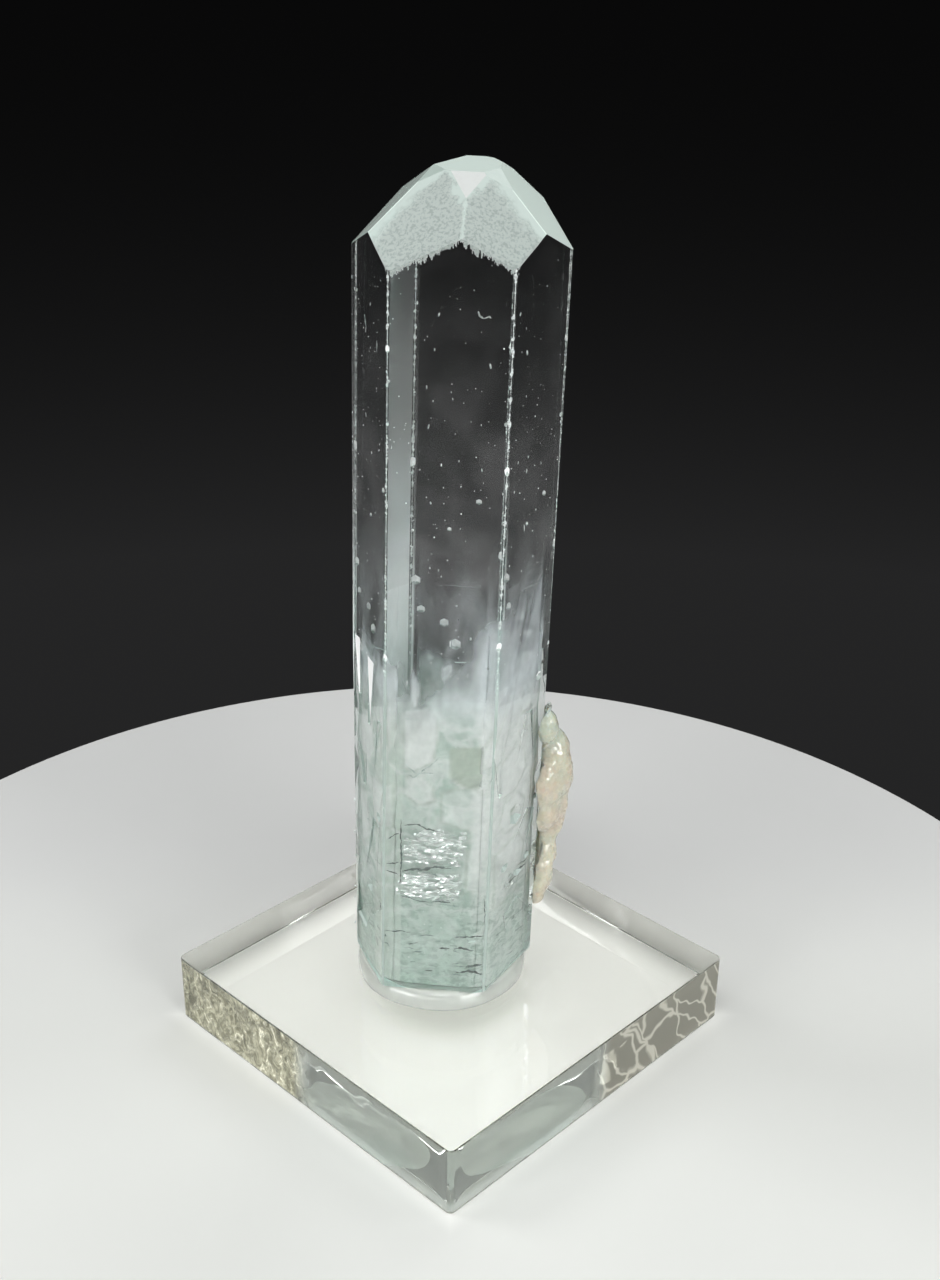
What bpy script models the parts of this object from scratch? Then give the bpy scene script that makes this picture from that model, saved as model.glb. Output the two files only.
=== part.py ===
"""An aquamarine crystal standing on a square base of clear acrylic.

Metres, +Z up. The origin is the centre of the base's underside, and X and Y run along its sides.
The object is four pieces: the aquamarine, the feldspar grown on its flank, the pad of clear
adhesive under its foot, and the base. Heights named "above the base" start at the base's top.
"""

import math
from collections import namedtuple

import bmesh
import bpy
from mathutils import Matrix, Vector

MM = 0.001
GAP = 0.3 * MM  # clearance between pieces that touch

# The base: a 2 inch square cut from 3/8 inch sheet, with polished edges.
BASE_SIDE = 50.8 * MM
BASE_THICKNESS = 9.525 * MM
BASE_CORNER_RADIUS = 0.8 * MM
BASE_EDGE_BREAK = 0.2 * MM

# Where the crystal's axis meets the base's top, how it leans, and how far its front face is
# turned from facing -Y.
FOOT_X = -0.87 * MM
FOOT_Y = 0.80 * MM
LEAN_ABOUT_X = math.radians(2.96)
LEAN_ABOUT_Y = math.radians(-1.22)
HEADING = math.radians(-50.85)

# Beryl's habit. Prism faces are counted from the front one towards +X, 60 degrees apart, and
# prism edge k stands between prism faces k and k + 1. Distances are from the crystal's axis;
# tops are where a sloping face's plane meets the axis, above the base.
AXIAL_RATIO = 0.4989
PRISM_DISTANCES = (9.65 * MM, 10.24 * MM, 9.78 * MM, 10.20 * MM, 9.63 * MM, 10.54 * MM)
PYRAMID_TOPS = (104.2 * MM, 104.5 * MM, 105.1 * MM, 105.3 * MM, 104.1 * MM, 104.2 * MM)
EDGE_PYRAMID_TOPS = (106.3 * MM, 106.2 * MM, 107.5 * MM, 107.8 * MM, 105.8 * MM, 105.6 * MM)
PINACOID_HEIGHT = 102.6 * MM
EDGE_FLAT_WIDTH = 0.42 * MM  # the etched strip that blunts each prism edge
FACE_STEP = 60.0  # degrees from one prism face to the next
PYRAMID_SLOPE = math.atan(AXIAL_RATIO * 2 / math.sqrt(3))
EDGE_PYRAMID_SLOPE = math.atan(AXIAL_RATIO * 2)

# The crystal's broken foot: a nearly level break with three smaller ones round its rim, each
# given by its direction, its slope and its height on the axis.
FOOT_HEIGHT = 2.65 * MM
Break = namedtuple("Break", "direction slope height")
FOOT_BREAKS = (
    Break(direction=165, slope=9, height=1.75 * MM),
    Break(direction=70, slope=14, height=0.75 * MM),
    Break(direction=250, slope=11, height=1.35 * MM),
)

# The left prism edge is worn down, more and more towards the foot.
WORN_EDGE = 4
WORN_EDGE_TOP = 47.0 * MM
WORN_EDGE_DEPTH = 0.60 * MM

# Terraces: shallow wedges etched out of the prism faces. across and height are the middle's place
# on the face, turn is the wedge's turn in the face, depth is how deep its deep end goes, and taper
# is the deep end's width over the other's. At a turn of 0 the deep end is the lower one.
Terrace = namedtuple("Terrace", "face across height wide tall turn depth taper")
TERRACES = (
    Terrace(3, 4.2 * MM, 39.9 * MM, 1.7 * MM, 5.4 * MM, 181, 0.26 * MM, 0.15),
    Terrace(3, -1.7 * MM, 39.6 * MM, 5.8 * MM, 8.4 * MM, 177, 0.34 * MM, 0.92),
    Terrace(3, 4.0 * MM, 32.6 * MM, 2.9 * MM, 8.6 * MM, 183, 0.30 * MM, 0.80),
    Terrace(3, -2.3 * MM, 29.0 * MM, 5.0 * MM, 5.2 * MM, 4, 0.36 * MM, 0.85),
    Terrace(3, 0.4 * MM, 15.5 * MM, 7.2 * MM, 6.5 * MM, 12, 0.32 * MM, 0.60),
    Terrace(4, 1.4 * MM, 38.0 * MM, 4.2 * MM, 11.0 * MM, 3, 0.40 * MM, 0.55),
    Terrace(4, -2.2 * MM, 22.0 * MM, 4.6 * MM, 9.0 * MM, -9, 0.45 * MM, 0.70),
    Terrace(5, -3.0 * MM, 45.0 * MM, 1.6 * MM, 7.4 * MM, 5, 0.24 * MM, 0.30),
    Terrace(5, 0.6 * MM, 43.2 * MM, 1.9 * MM, 9.0 * MM, -3, 0.26 * MM, 0.30),
    Terrace(5, 3.3 * MM, 36.5 * MM, 2.3 * MM, 8.4 * MM, 176, 0.26 * MM, 0.45),
    Terrace(5, -1.4 * MM, 33.0 * MM, 2.6 * MM, 7.0 * MM, 9, 0.28 * MM, 0.35),
    Terrace(5, 2.0 * MM, 21.5 * MM, 3.4 * MM, 9.5 * MM, 171, 0.30 * MM, 0.55),
    Terrace(5, -1.2 * MM, 10.8 * MM, 4.8 * MM, 5.6 * MM, -14, 0.34 * MM, 0.60),
    Terrace(1, -4.1 * MM, 36.4 * MM, 2.2 * MM, 9.6 * MM, 7, 0.34 * MM, 0.35),
    Terrace(1, 1.6 * MM, 37.6 * MM, 3.6 * MM, 6.6 * MM, 176, 0.34 * MM, 0.35),
    Terrace(1, 2.2 * MM, 24.0 * MM, 3.4 * MM, 5.4 * MM, 152, 0.34 * MM, 0.50),
    Terrace(1, 0.8 * MM, 11.5 * MM, 5.2 * MM, 4.2 * MM, 205, 0.36 * MM, 0.60),
    Terrace(2, 1.2 * MM, 24.0 * MM, 6.0 * MM, 16.0 * MM, 6, 0.30 * MM, 0.70),
    Terrace(0, 4.1 * MM, 13.0 * MM, 2.4 * MM, 4.6 * MM, 11, 0.20 * MM, 0.40),
)

# Etch pits: six-sided hollows in the prism faces. floor is the flat floor's share of the radius.
Pit = namedtuple("Pit", "face across height radius depth floor", defaults=(0.25,))
PITS = (
    Pit(1, 0.1 * MM, 27.2 * MM, 1.45 * MM, 0.45 * MM),
    Pit(1, -1.9 * MM, 20.4 * MM, 0.75 * MM, 0.30 * MM),
    Pit(1, 1.2 * MM, 18.3 * MM, 0.95 * MM, 0.32 * MM),
    Pit(1, 2.9 * MM, 19.6 * MM, 0.60 * MM, 0.24 * MM),
    Pit(1, 3.4 * MM, 45.0 * MM, 0.60 * MM, 0.24 * MM),
    Pit(3, 2.6 * MM, 23.0 * MM, 1.20 * MM, 0.42 * MM),
    Pit(3, -3.6 * MM, 22.5 * MM, 0.90 * MM, 0.34 * MM),
    Pit(4, 2.9 * MM, 12.0 * MM, 1.10 * MM, 0.36 * MM),
    Pit(5, 3.6 * MM, 27.5 * MM, 0.70 * MM, 0.26 * MM),
    Pit(5, 0.9 * MM, 15.6 * MM, 0.95 * MM, 0.32 * MM),
    Pit(2, -3.2 * MM, 47.0 * MM, 0.80 * MM, 0.30 * MM),
    Pit(3, -0.3 * MM, 46.1 * MM, 0.76 * MM, 0.34 * MM),
    Pit(3, 2.7 * MM, 44.1 * MM, 0.50 * MM, 0.20 * MM, 0.55),
    Pit(3, 1.1 * MM, 48.9 * MM, 0.58 * MM, 0.20 * MM, 0.60),
    Pit(3, 3.9 * MM, 50.5 * MM, 0.52 * MM, 0.24 * MM),
    Pit(3, 4.6 * MM, 54.25 * MM, 0.64 * MM, 0.28 * MM),
    Pit(3, 0.8 * MM, 61.0 * MM, 0.26 * MM, 0.12 * MM),
    Pit(3, -2.5 * MM, 64.6 * MM, 0.36 * MM, 0.16 * MM),
)

# Chips: small bites out of the prism edges.
Chip = namedtuple("Chip", "edge height radius")
CHIPS = (
    Chip(0, 52.5 * MM, 0.42 * MM),
    Chip(0, 73.5 * MM, 0.38 * MM),
    Chip(1, 63.0 * MM, 0.40 * MM),
    Chip(2, 58.0 * MM, 0.50 * MM),
    Chip(2, 83.0 * MM, 0.36 * MM),
    Chip(3, 69.0 * MM, 0.46 * MM),
    Chip(3, 33.0 * MM, 0.60 * MM),
    Chip(4, 55.0 * MM, 0.40 * MM),
    Chip(5, 50.0 * MM, 0.38 * MM),
    Chip(5, 86.0 * MM, 0.34 * MM),
)

# The feldspar: rounded lumps fused into one crust on the back right prism face, which just laps
# over the edge to the right one. back is the distance from that edge along the back right face,
# out is the distance off it, and the radii are along the face, off it, and along the crystal.
FELDSPAR_EDGE = 1
Lump = namedtuple("Lump", "height back out long_radius out_radius high_radius")
LUMPS = (
    Lump(37.7 * MM, 0.0 * MM, 0.0 * MM, 1.7 * MM, 1.5 * MM, 2.8 * MM),
    Lump(35.6 * MM, 2.0 * MM, 0.5 * MM, 2.3 * MM, 1.7 * MM, 2.8 * MM),
    Lump(31.3 * MM, 1.6 * MM, 2.0 * MM, 2.4 * MM, 2.1 * MM, 4.4 * MM),
    Lump(27.6 * MM, 1.1 * MM, 2.6 * MM, 2.1 * MM, 2.2 * MM, 5.6 * MM),
    Lump(26.5 * MM, 0.2 * MM, 0.8 * MM, 1.9 * MM, 2.4 * MM, 5.4 * MM),
    Lump(22.6 * MM, 1.6 * MM, 2.2 * MM, 2.3 * MM, 2.2 * MM, 5.0 * MM),
    Lump(29.2 * MM, 4.6 * MM, 0.9 * MM, 3.2 * MM, 2.4 * MM, 4.8 * MM),
    Lump(23.2 * MM, 4.4 * MM, 0.6 * MM, 3.1 * MM, 2.4 * MM, 5.0 * MM),
    Lump(26.0 * MM, 6.8 * MM, 0.0 * MM, 2.1 * MM, 1.8 * MM, 3.8 * MM),
    Lump(18.8 * MM, 1.1 * MM, 1.7 * MM, 2.0 * MM, 1.9 * MM, 4.0 * MM),
    Lump(17.6 * MM, 3.2 * MM, 0.3 * MM, 2.4 * MM, 1.6 * MM, 3.6 * MM),
    Lump(15.2 * MM, 0.5 * MM, 1.0 * MM, 1.7 * MM, 1.7 * MM, 3.4 * MM),
    Lump(13.0 * MM, 0.1 * MM, 0.3 * MM, 1.3 * MM, 1.3 * MM, 2.7 * MM),
)
LUMP_VOXEL = 0.32 * MM
LUMP_SOFTENING = 9  # smoothing steps that melt the lumps together
LUMP_KEPT_TRIANGLES = 0.30

# The adhesive: a low round pad, slightly squeezed out under the crystal.
PAD_RADIUS = 11.0 * MM
PAD_CREEP = 0.35 * MM  # how far its outline wanders
PAD_SIDES = 20

ROW_NAME = "aquamarine_specimen"


def clear_scene():
    """Remove every object."""
    for found in list(bpy.data.objects):
        bpy.data.objects.remove(found, do_unlink=True)


def new_collection(name):
    """Return a new collection in the scene."""
    made = bpy.data.collections.new(name)
    bpy.context.scene.collection.children.link(made)
    return made


def new_object(name, shape, collection):
    """Return an object holding a bmesh, which is freed."""
    mesh = bpy.data.meshes.new(name)
    bmesh.ops.recalc_face_normals(shape, faces=shape.faces)
    shape.to_mesh(mesh)
    shape.free()
    made = bpy.data.objects.new(name, mesh)
    collection.objects.link(made)
    return made


def as_cutter(made):
    """Mark an object as a helper that is cut away and never seen."""
    made.hide_render = True
    made.display_type = "WIRE"
    return made


def new_material(name, colour, roughness, transmission=0.0, ior=1.5):
    """Return a Principled material."""
    made = bpy.data.materials.new(name)
    made.use_nodes = True
    surface = made.node_tree.nodes["Principled BSDF"]
    surface.inputs["Base Color"].default_value = (*colour, 1.0)
    surface.inputs["Metallic"].default_value = 0.0
    surface.inputs["Roughness"].default_value = roughness
    surface.inputs["Transmission Weight"].default_value = transmission
    surface.inputs["IOR"].default_value = ior
    made.diffuse_color = (*colour, 1.0)
    return made


def crystal_to_world():
    """Return the matrix from the crystal's frame, whose Z is its axis, to the world."""
    lean = Matrix.Rotation(LEAN_ABOUT_X, 4, "X") @ Matrix.Rotation(LEAN_ABOUT_Y, 4, "Y")
    foot = Matrix.Translation((FOOT_X, FOOT_Y, BASE_THICKNESS))
    return foot @ lean @ Matrix.Rotation(HEADING, 4, "Z")


def outward(direction, slope):
    """Return the normal turned by degrees from -Y towards +X and sloped by radians from +Z."""
    turn = math.radians(direction)
    return Vector(
        (math.sin(slope) * math.sin(turn), -math.sin(slope) * math.cos(turn), math.cos(slope))
    )


def cut_back(shape, normal, distance):
    """Cut a convex bmesh back to the plane at a distance along a normal, and close the cut."""
    whole = list(shape.verts) + list(shape.edges) + list(shape.faces)
    cut = bmesh.ops.bisect_plane(
        shape, geom=whole, dist=1e-8, plane_co=normal * distance, plane_no=normal, clear_outer=True
    )
    rim = [part for part in cut["geom_cut"] if isinstance(part, bmesh.types.BMEdge)]
    if len(rim) > 2:
        bmesh.ops.contextual_create(shape, geom=rim)


def edge_distance(edge):
    """Return how far the sharp prism edge lies out along its own direction."""
    sides = PRISM_DISTANCES[edge] + PRISM_DISTANCES[(edge + 1) % 6]
    return sides / (2 * math.cos(math.radians(FACE_STEP / 2)))


def edge_point(edge, height):
    """Return the point of the sharp prism edge at a height, in the crystal's frame."""
    near = outward(FACE_STEP * edge, math.pi / 2)
    far = outward(FACE_STEP * (edge + 1), math.pi / 2)
    rows = Matrix(((near.x, near.y), (far.x, far.y)))
    place = rows.inverted() @ Vector((PRISM_DISTANCES[edge], PRISM_DISTANCES[(edge + 1) % 6]))
    return Vector((place.x, place.y, height))


def face_frame(face, across, height):
    """Return the matrix of a place on a prism face: X across it, Y up it, Z out of it."""
    out = outward(FACE_STEP * face, math.pi / 2)
    right = outward(FACE_STEP * face + 90, math.pi / 2)
    place = out * PRISM_DISTANCES[face] + right * across + Vector((0, 0, height))
    turn = Matrix((right, Vector((0, 0, 1)), out)).transposed().to_4x4()
    return Matrix.Translation(place) @ turn


def prism_envelope(spare):
    """Return the six-sided prism of the crystal, grown by a spare distance all round."""
    shape = bmesh.new()
    bmesh.ops.create_cube(shape, size=4 * PINACOID_HEIGHT)
    for face, distance in enumerate(PRISM_DISTANCES):
        cut_back(shape, outward(FACE_STEP * face, math.pi / 2), distance + spare)
    return shape


def habit():
    """Return the bmesh of the crystal's faces, before etching."""
    shape = prism_envelope(0.0)
    flat_depth = EDGE_FLAT_WIDTH / (2 * math.tan(math.radians(FACE_STEP)))
    for edge in range(6):
        side = outward(FACE_STEP * (edge + 0.5), math.pi / 2)
        cut_back(shape, side, edge_distance(edge) - flat_depth)
    for face, top in enumerate(PYRAMID_TOPS):
        normal = outward(FACE_STEP * face, PYRAMID_SLOPE)
        cut_back(shape, normal, top * math.cos(PYRAMID_SLOPE))
    for edge, top in enumerate(EDGE_PYRAMID_TOPS):
        normal = outward(FACE_STEP * (edge + 0.5), EDGE_PYRAMID_SLOPE)
        cut_back(shape, normal, top * math.cos(EDGE_PYRAMID_SLOPE))
    cut_back(shape, Vector((0, 0, 1)), PINACOID_HEIGHT)
    cut_back(shape, Vector((0, 0, -1)), -FOOT_HEIGHT)
    for snap in FOOT_BREAKS:
        normal = outward(snap.direction, math.pi - math.radians(snap.slope))
        cut_back(shape, normal, snap.height * normal.z)
    worn_slope = math.atan(WORN_EDGE_DEPTH / (WORN_EDGE_TOP - FOOT_HEIGHT))
    normal = outward(FACE_STEP * (WORN_EDGE + 0.5), math.pi / 2 + worn_slope)
    start = edge_point(WORN_EDGE, WORN_EDGE_TOP)
    cut_back(shape, normal, start.dot(normal) - flat_depth)
    return shape


def terrace_cutter(terrace):
    """Return the tapered box that etches one terrace: flush at one end, sunk at the other."""
    spare = 2.0 * MM
    shape = bmesh.new()
    bmesh.ops.create_cube(shape, size=1.0)
    deep_end = [vertex for vertex in shape.verts if vertex.co.y < 0]
    bmesh.ops.scale(shape, vec=(terrace.taper, 1.0, 1.0), verts=deep_end)
    bmesh.ops.scale(shape, vec=(terrace.wide, terrace.tall, spare), verts=shape.verts)
    dip = math.atan(terrace.depth / terrace.tall)
    tilt = Matrix.Rotation(dip, 4, "X")
    lift = Matrix.Translation((0, 0, spare / 2 - terrace.depth / 2))
    turn = Matrix.Rotation(math.radians(terrace.turn), 4, "Z")
    place = face_frame(terrace.face, terrace.across, terrace.height)
    bmesh.ops.transform(shape, matrix=place @ turn @ tilt @ lift, verts=shape.verts)
    return shape


def pit_cutter(pit):
    """Return the blunt six-sided cone that etches one pit."""
    shape = bmesh.new()
    floor_radius = pit.floor * pit.radius
    flare_radius = 2 * pit.radius - floor_radius
    bmesh.ops.create_cone(
        shape,
        cap_ends=True,
        segments=6,
        radius1=floor_radius,
        radius2=flare_radius,
        depth=2 * pit.depth,
    )
    place = face_frame(pit.face, pit.across, pit.height)
    bmesh.ops.transform(shape, matrix=place, verts=shape.verts)
    return shape


def chip_cutter(chip, serial):
    """Return the small angular block that bites one chip out of a prism edge."""
    shape = bmesh.new()
    bmesh.ops.create_icosphere(shape, subdivisions=1, radius=chip.radius)
    turn = Matrix.Rotation(1.1 * serial, 4, "Z") @ Matrix.Rotation(0.7 * serial, 4, "X")
    stretch = Matrix.Diagonal((1.0, 1.0, 1.6, 1.0))
    place = Matrix.Translation(edge_point(chip.edge, chip.height))
    bmesh.ops.transform(shape, matrix=place @ stretch @ turn, verts=shape.verts)
    return shape


def make_aquamarine(collection, cutters):
    """Return the aquamarine: its habit, etched by terraces, pits and chips."""
    crystal = new_object("aquamarine_crystal", habit(), collection)
    etching = new_collection("aquamarine_etching")
    tools = [terrace_cutter(terrace) for terrace in TERRACES]
    tools += [pit_cutter(pit) for pit in PITS]
    tools += [chip_cutter(chip, serial) for serial, chip in enumerate(CHIPS)]
    for serial, shape in enumerate(tools):
        tool = as_cutter(new_object(f"etch_{serial:02d}", shape, etching))
        tool.parent = crystal
    bpy.context.scene.collection.children.unlink(etching)
    cutters.children.link(etching)
    crystal.matrix_world = crystal_to_world()
    etch = crystal.modifiers.new("etching", "BOOLEAN")
    etch.operation = "DIFFERENCE"
    etch.operand_type = "COLLECTION"
    etch.collection = etching
    etch.solver = "EXACT"
    crystal.data.materials.append(
        new_material("aquamarine", (0.72, 0.90, 0.87), roughness=0.02, transmission=1.0, ior=1.577)
    )
    return crystal


def make_feldspar(collection, cutters):
    """Return the feldspar: lumps run together, cut back to clear the crystal."""
    out = outward(FACE_STEP * (FELDSPAR_EDGE + 1), math.pi / 2)
    back = outward(FACE_STEP * (FELDSPAR_EDGE + 1) + 90, math.pi / 2)
    axes = Matrix((back, out, Vector((0, 0, 1)))).transposed().to_4x4()
    shape = bmesh.new()
    for lump in LUMPS:
        made = bmesh.ops.create_icosphere(shape, subdivisions=3, radius=1.0)
        centre = edge_point(FELDSPAR_EDGE, lump.height) + back * lump.back + out * lump.out
        radii = (lump.long_radius, lump.out_radius, lump.high_radius, 1.0)
        place = Matrix.Translation(centre) @ axes @ Matrix.Diagonal(radii)
        bmesh.ops.transform(shape, matrix=place, verts=made["verts"])
    crust = new_object("feldspar_crust", shape, collection)
    crust.matrix_world = crystal_to_world()

    fuse = crust.modifiers.new("fuse", "REMESH")
    fuse.mode = "VOXEL"
    fuse.voxel_size = LUMP_VOXEL
    soften = crust.modifiers.new("soften", "SMOOTH")
    soften.factor = 0.5
    soften.iterations = LUMP_SOFTENING
    thin = crust.modifiers.new("thin", "DECIMATE")
    thin.ratio = LUMP_KEPT_TRIANGLES

    envelope = as_cutter(new_object("crystal_envelope", prism_envelope(GAP), cutters))
    envelope.matrix_world = crystal_to_world()
    fit = crust.modifiers.new("fit", "BOOLEAN")
    fit.operation = "DIFFERENCE"
    fit.object = envelope
    fit.solver = "EXACT"
    crust.data.materials.append(new_material("feldspar", (0.80, 0.73, 0.62), roughness=0.35))
    crust.data.shade_smooth()
    return crust


def make_adhesive(collection, cutters):
    """Return the adhesive pad, which fills the wedge between the base and the crystal's foot."""
    tall = 2 * FOOT_HEIGHT
    shape = bmesh.new()
    bmesh.ops.create_cone(
        shape, cap_ends=True, segments=PAD_SIDES, radius1=PAD_RADIUS, radius2=PAD_RADIUS, depth=tall
    )
    for vertex in shape.verts:
        turn = math.atan2(vertex.co.y, vertex.co.x)
        creep = math.sin(2 * turn + 0.7) + 0.6 * math.sin(3 * turn) + 0.4 * math.cos(6 * turn + 0.4)
        grown = 1 + PAD_CREEP * creep / (2 * PAD_RADIUS)
        vertex.co.x *= grown
        vertex.co.y *= grown
    bmesh.ops.translate(shape, vec=(0, 0, tall / 2 + GAP), verts=shape.verts)
    pad = new_object("adhesive_pad", shape, collection)
    pad.location = (FOOT_X, FOOT_Y, BASE_THICKNESS)

    room = bmesh.new()
    bmesh.ops.create_cube(room, size=4 * PAD_RADIUS)
    above = Matrix.Translation((0, 0, 2 * PAD_RADIUS + FOOT_HEIGHT - GAP))
    bmesh.ops.transform(room, matrix=above, verts=room.verts)
    foot_room = as_cutter(new_object("foot_room", room, cutters))
    foot_room.matrix_world = crystal_to_world()
    fit = pad.modifiers.new("fit", "BOOLEAN")
    fit.operation = "DIFFERENCE"
    fit.object = foot_room
    fit.solver = "EXACT"
    rounding = pad.modifiers.new("rounding", "BEVEL")
    rounding.width = 0.55 * MM
    rounding.segments = 3
    rounding.limit_method = "ANGLE"
    rounding.angle_limit = math.radians(50)
    pad.data.materials.append(
        new_material("clear_adhesive", (0.93, 0.95, 0.92), roughness=0.06, transmission=1.0, ior=1.48)
    )
    return pad


def make_base(collection):
    """Return the base: a square block with rounded upright edges and a slight break all round."""
    shape = bmesh.new()
    bmesh.ops.create_cube(shape, size=1.0)
    bmesh.ops.scale(shape, vec=(BASE_SIDE, BASE_SIDE, BASE_THICKNESS), verts=shape.verts)
    bmesh.ops.translate(shape, vec=(0, 0, BASE_THICKNESS / 2), verts=shape.verts)
    upright = [edge for edge in shape.edges if abs(edge.verts[0].co.z - edge.verts[1].co.z) > GAP]
    bmesh.ops.bevel(
        shape, geom=upright, offset=BASE_CORNER_RADIUS, segments=4, profile=0.5, affect="EDGES"
    )
    base = new_object("acrylic_base", shape, collection)
    edge_break = base.modifiers.new("edge_break", "BEVEL")
    edge_break.width = BASE_EDGE_BREAK
    edge_break.segments = 1
    edge_break.limit_method = "ANGLE"
    edge_break.angle_limit = math.radians(60)
    base.data.materials.append(
        new_material("acrylic", (0.97, 0.98, 0.96), roughness=0.02, transmission=1.0, ior=1.49)
    )
    return base


def main():
    """Build the four pieces."""
    clear_scene()
    pieces = new_collection(ROW_NAME)
    cutters = new_collection("cutters")
    cutters.hide_render = True
    make_base(pieces)
    make_adhesive(pieces, cutters)
    make_aquamarine(pieces, cutters)
    make_feldspar(pieces, cutters)


main()
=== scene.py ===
"""Dresses an aquamarine crystal on its acrylic base for display.

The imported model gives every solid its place. This script gives the surfaces: clear beryl with a
frosted tip, the milky zone, cracks and specks inside it, waxy feldspar, set adhesive and polished
acrylic. Lengths are metres and +Z is up; MM turns millimetres into metres. Materials read their
places and heights in millimetres.
"""

from __future__ import annotations

import logging
import math
import random
from dataclasses import dataclass, replace
from enum import Enum
from typing import Sequence

import bmesh
import bpy
from mathutils import Matrix, Vector, noise

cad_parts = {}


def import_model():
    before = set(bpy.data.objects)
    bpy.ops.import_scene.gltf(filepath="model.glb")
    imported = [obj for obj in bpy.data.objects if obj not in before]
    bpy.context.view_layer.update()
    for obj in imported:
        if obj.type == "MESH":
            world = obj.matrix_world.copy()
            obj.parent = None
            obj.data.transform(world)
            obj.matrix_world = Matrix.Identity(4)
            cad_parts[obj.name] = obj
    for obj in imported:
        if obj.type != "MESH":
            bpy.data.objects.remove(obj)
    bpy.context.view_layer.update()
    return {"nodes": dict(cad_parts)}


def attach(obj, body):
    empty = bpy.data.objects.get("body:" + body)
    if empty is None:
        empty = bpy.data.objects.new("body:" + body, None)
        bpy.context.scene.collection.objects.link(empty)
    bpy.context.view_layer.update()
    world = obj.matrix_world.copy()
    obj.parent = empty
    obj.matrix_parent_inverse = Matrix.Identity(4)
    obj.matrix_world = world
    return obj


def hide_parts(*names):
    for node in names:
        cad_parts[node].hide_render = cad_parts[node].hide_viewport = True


MM = 0.001
LOG = logging.getLogger("aquamarine")
ROOT = "root"
NOISE_SEED = 7
MILK, PALE_ZONE, OLIVE_ZONE = "milk", "pale_zone", "olive_zone"  # the milky core's attributes
WIDE = "wide"  # the cracks' attribute
CONTACT = 0.03 * MM  # how far two clear pieces reach into each other where they are stuck
WELD = 1e-6  # vertices nearer than this are one
SNAP = 1e-7  # cuts nearer than this to a vertex go through it
FINE_SNAP = 1e-8
UP = Vector((0, 0, 1))

Triple = tuple[float, float, float]
Colour = Triple
Spot = tuple[float, float]
Socket = bpy.types.NodeSocket
Material = bpy.types.Material
Piece = bpy.types.Object
Shape = bmesh.types.BMesh


class Node(Enum):
    """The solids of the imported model, by name."""

    CRYSTAL = "aquamarine_crystal"
    FELDSPAR = "feldspar_crust"
    ADHESIVE = "adhesive_pad"
    BASE = "acrylic_base"


class Slot(Enum):
    """The record's material slots."""

    AQUAMARINE = "aquamarine"
    FELDSPAR = "feldspar"
    ADHESIVE = "clear_adhesive"
    ACRYLIC = "acrylic"


# ---------------------------------------- shader building


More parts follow.
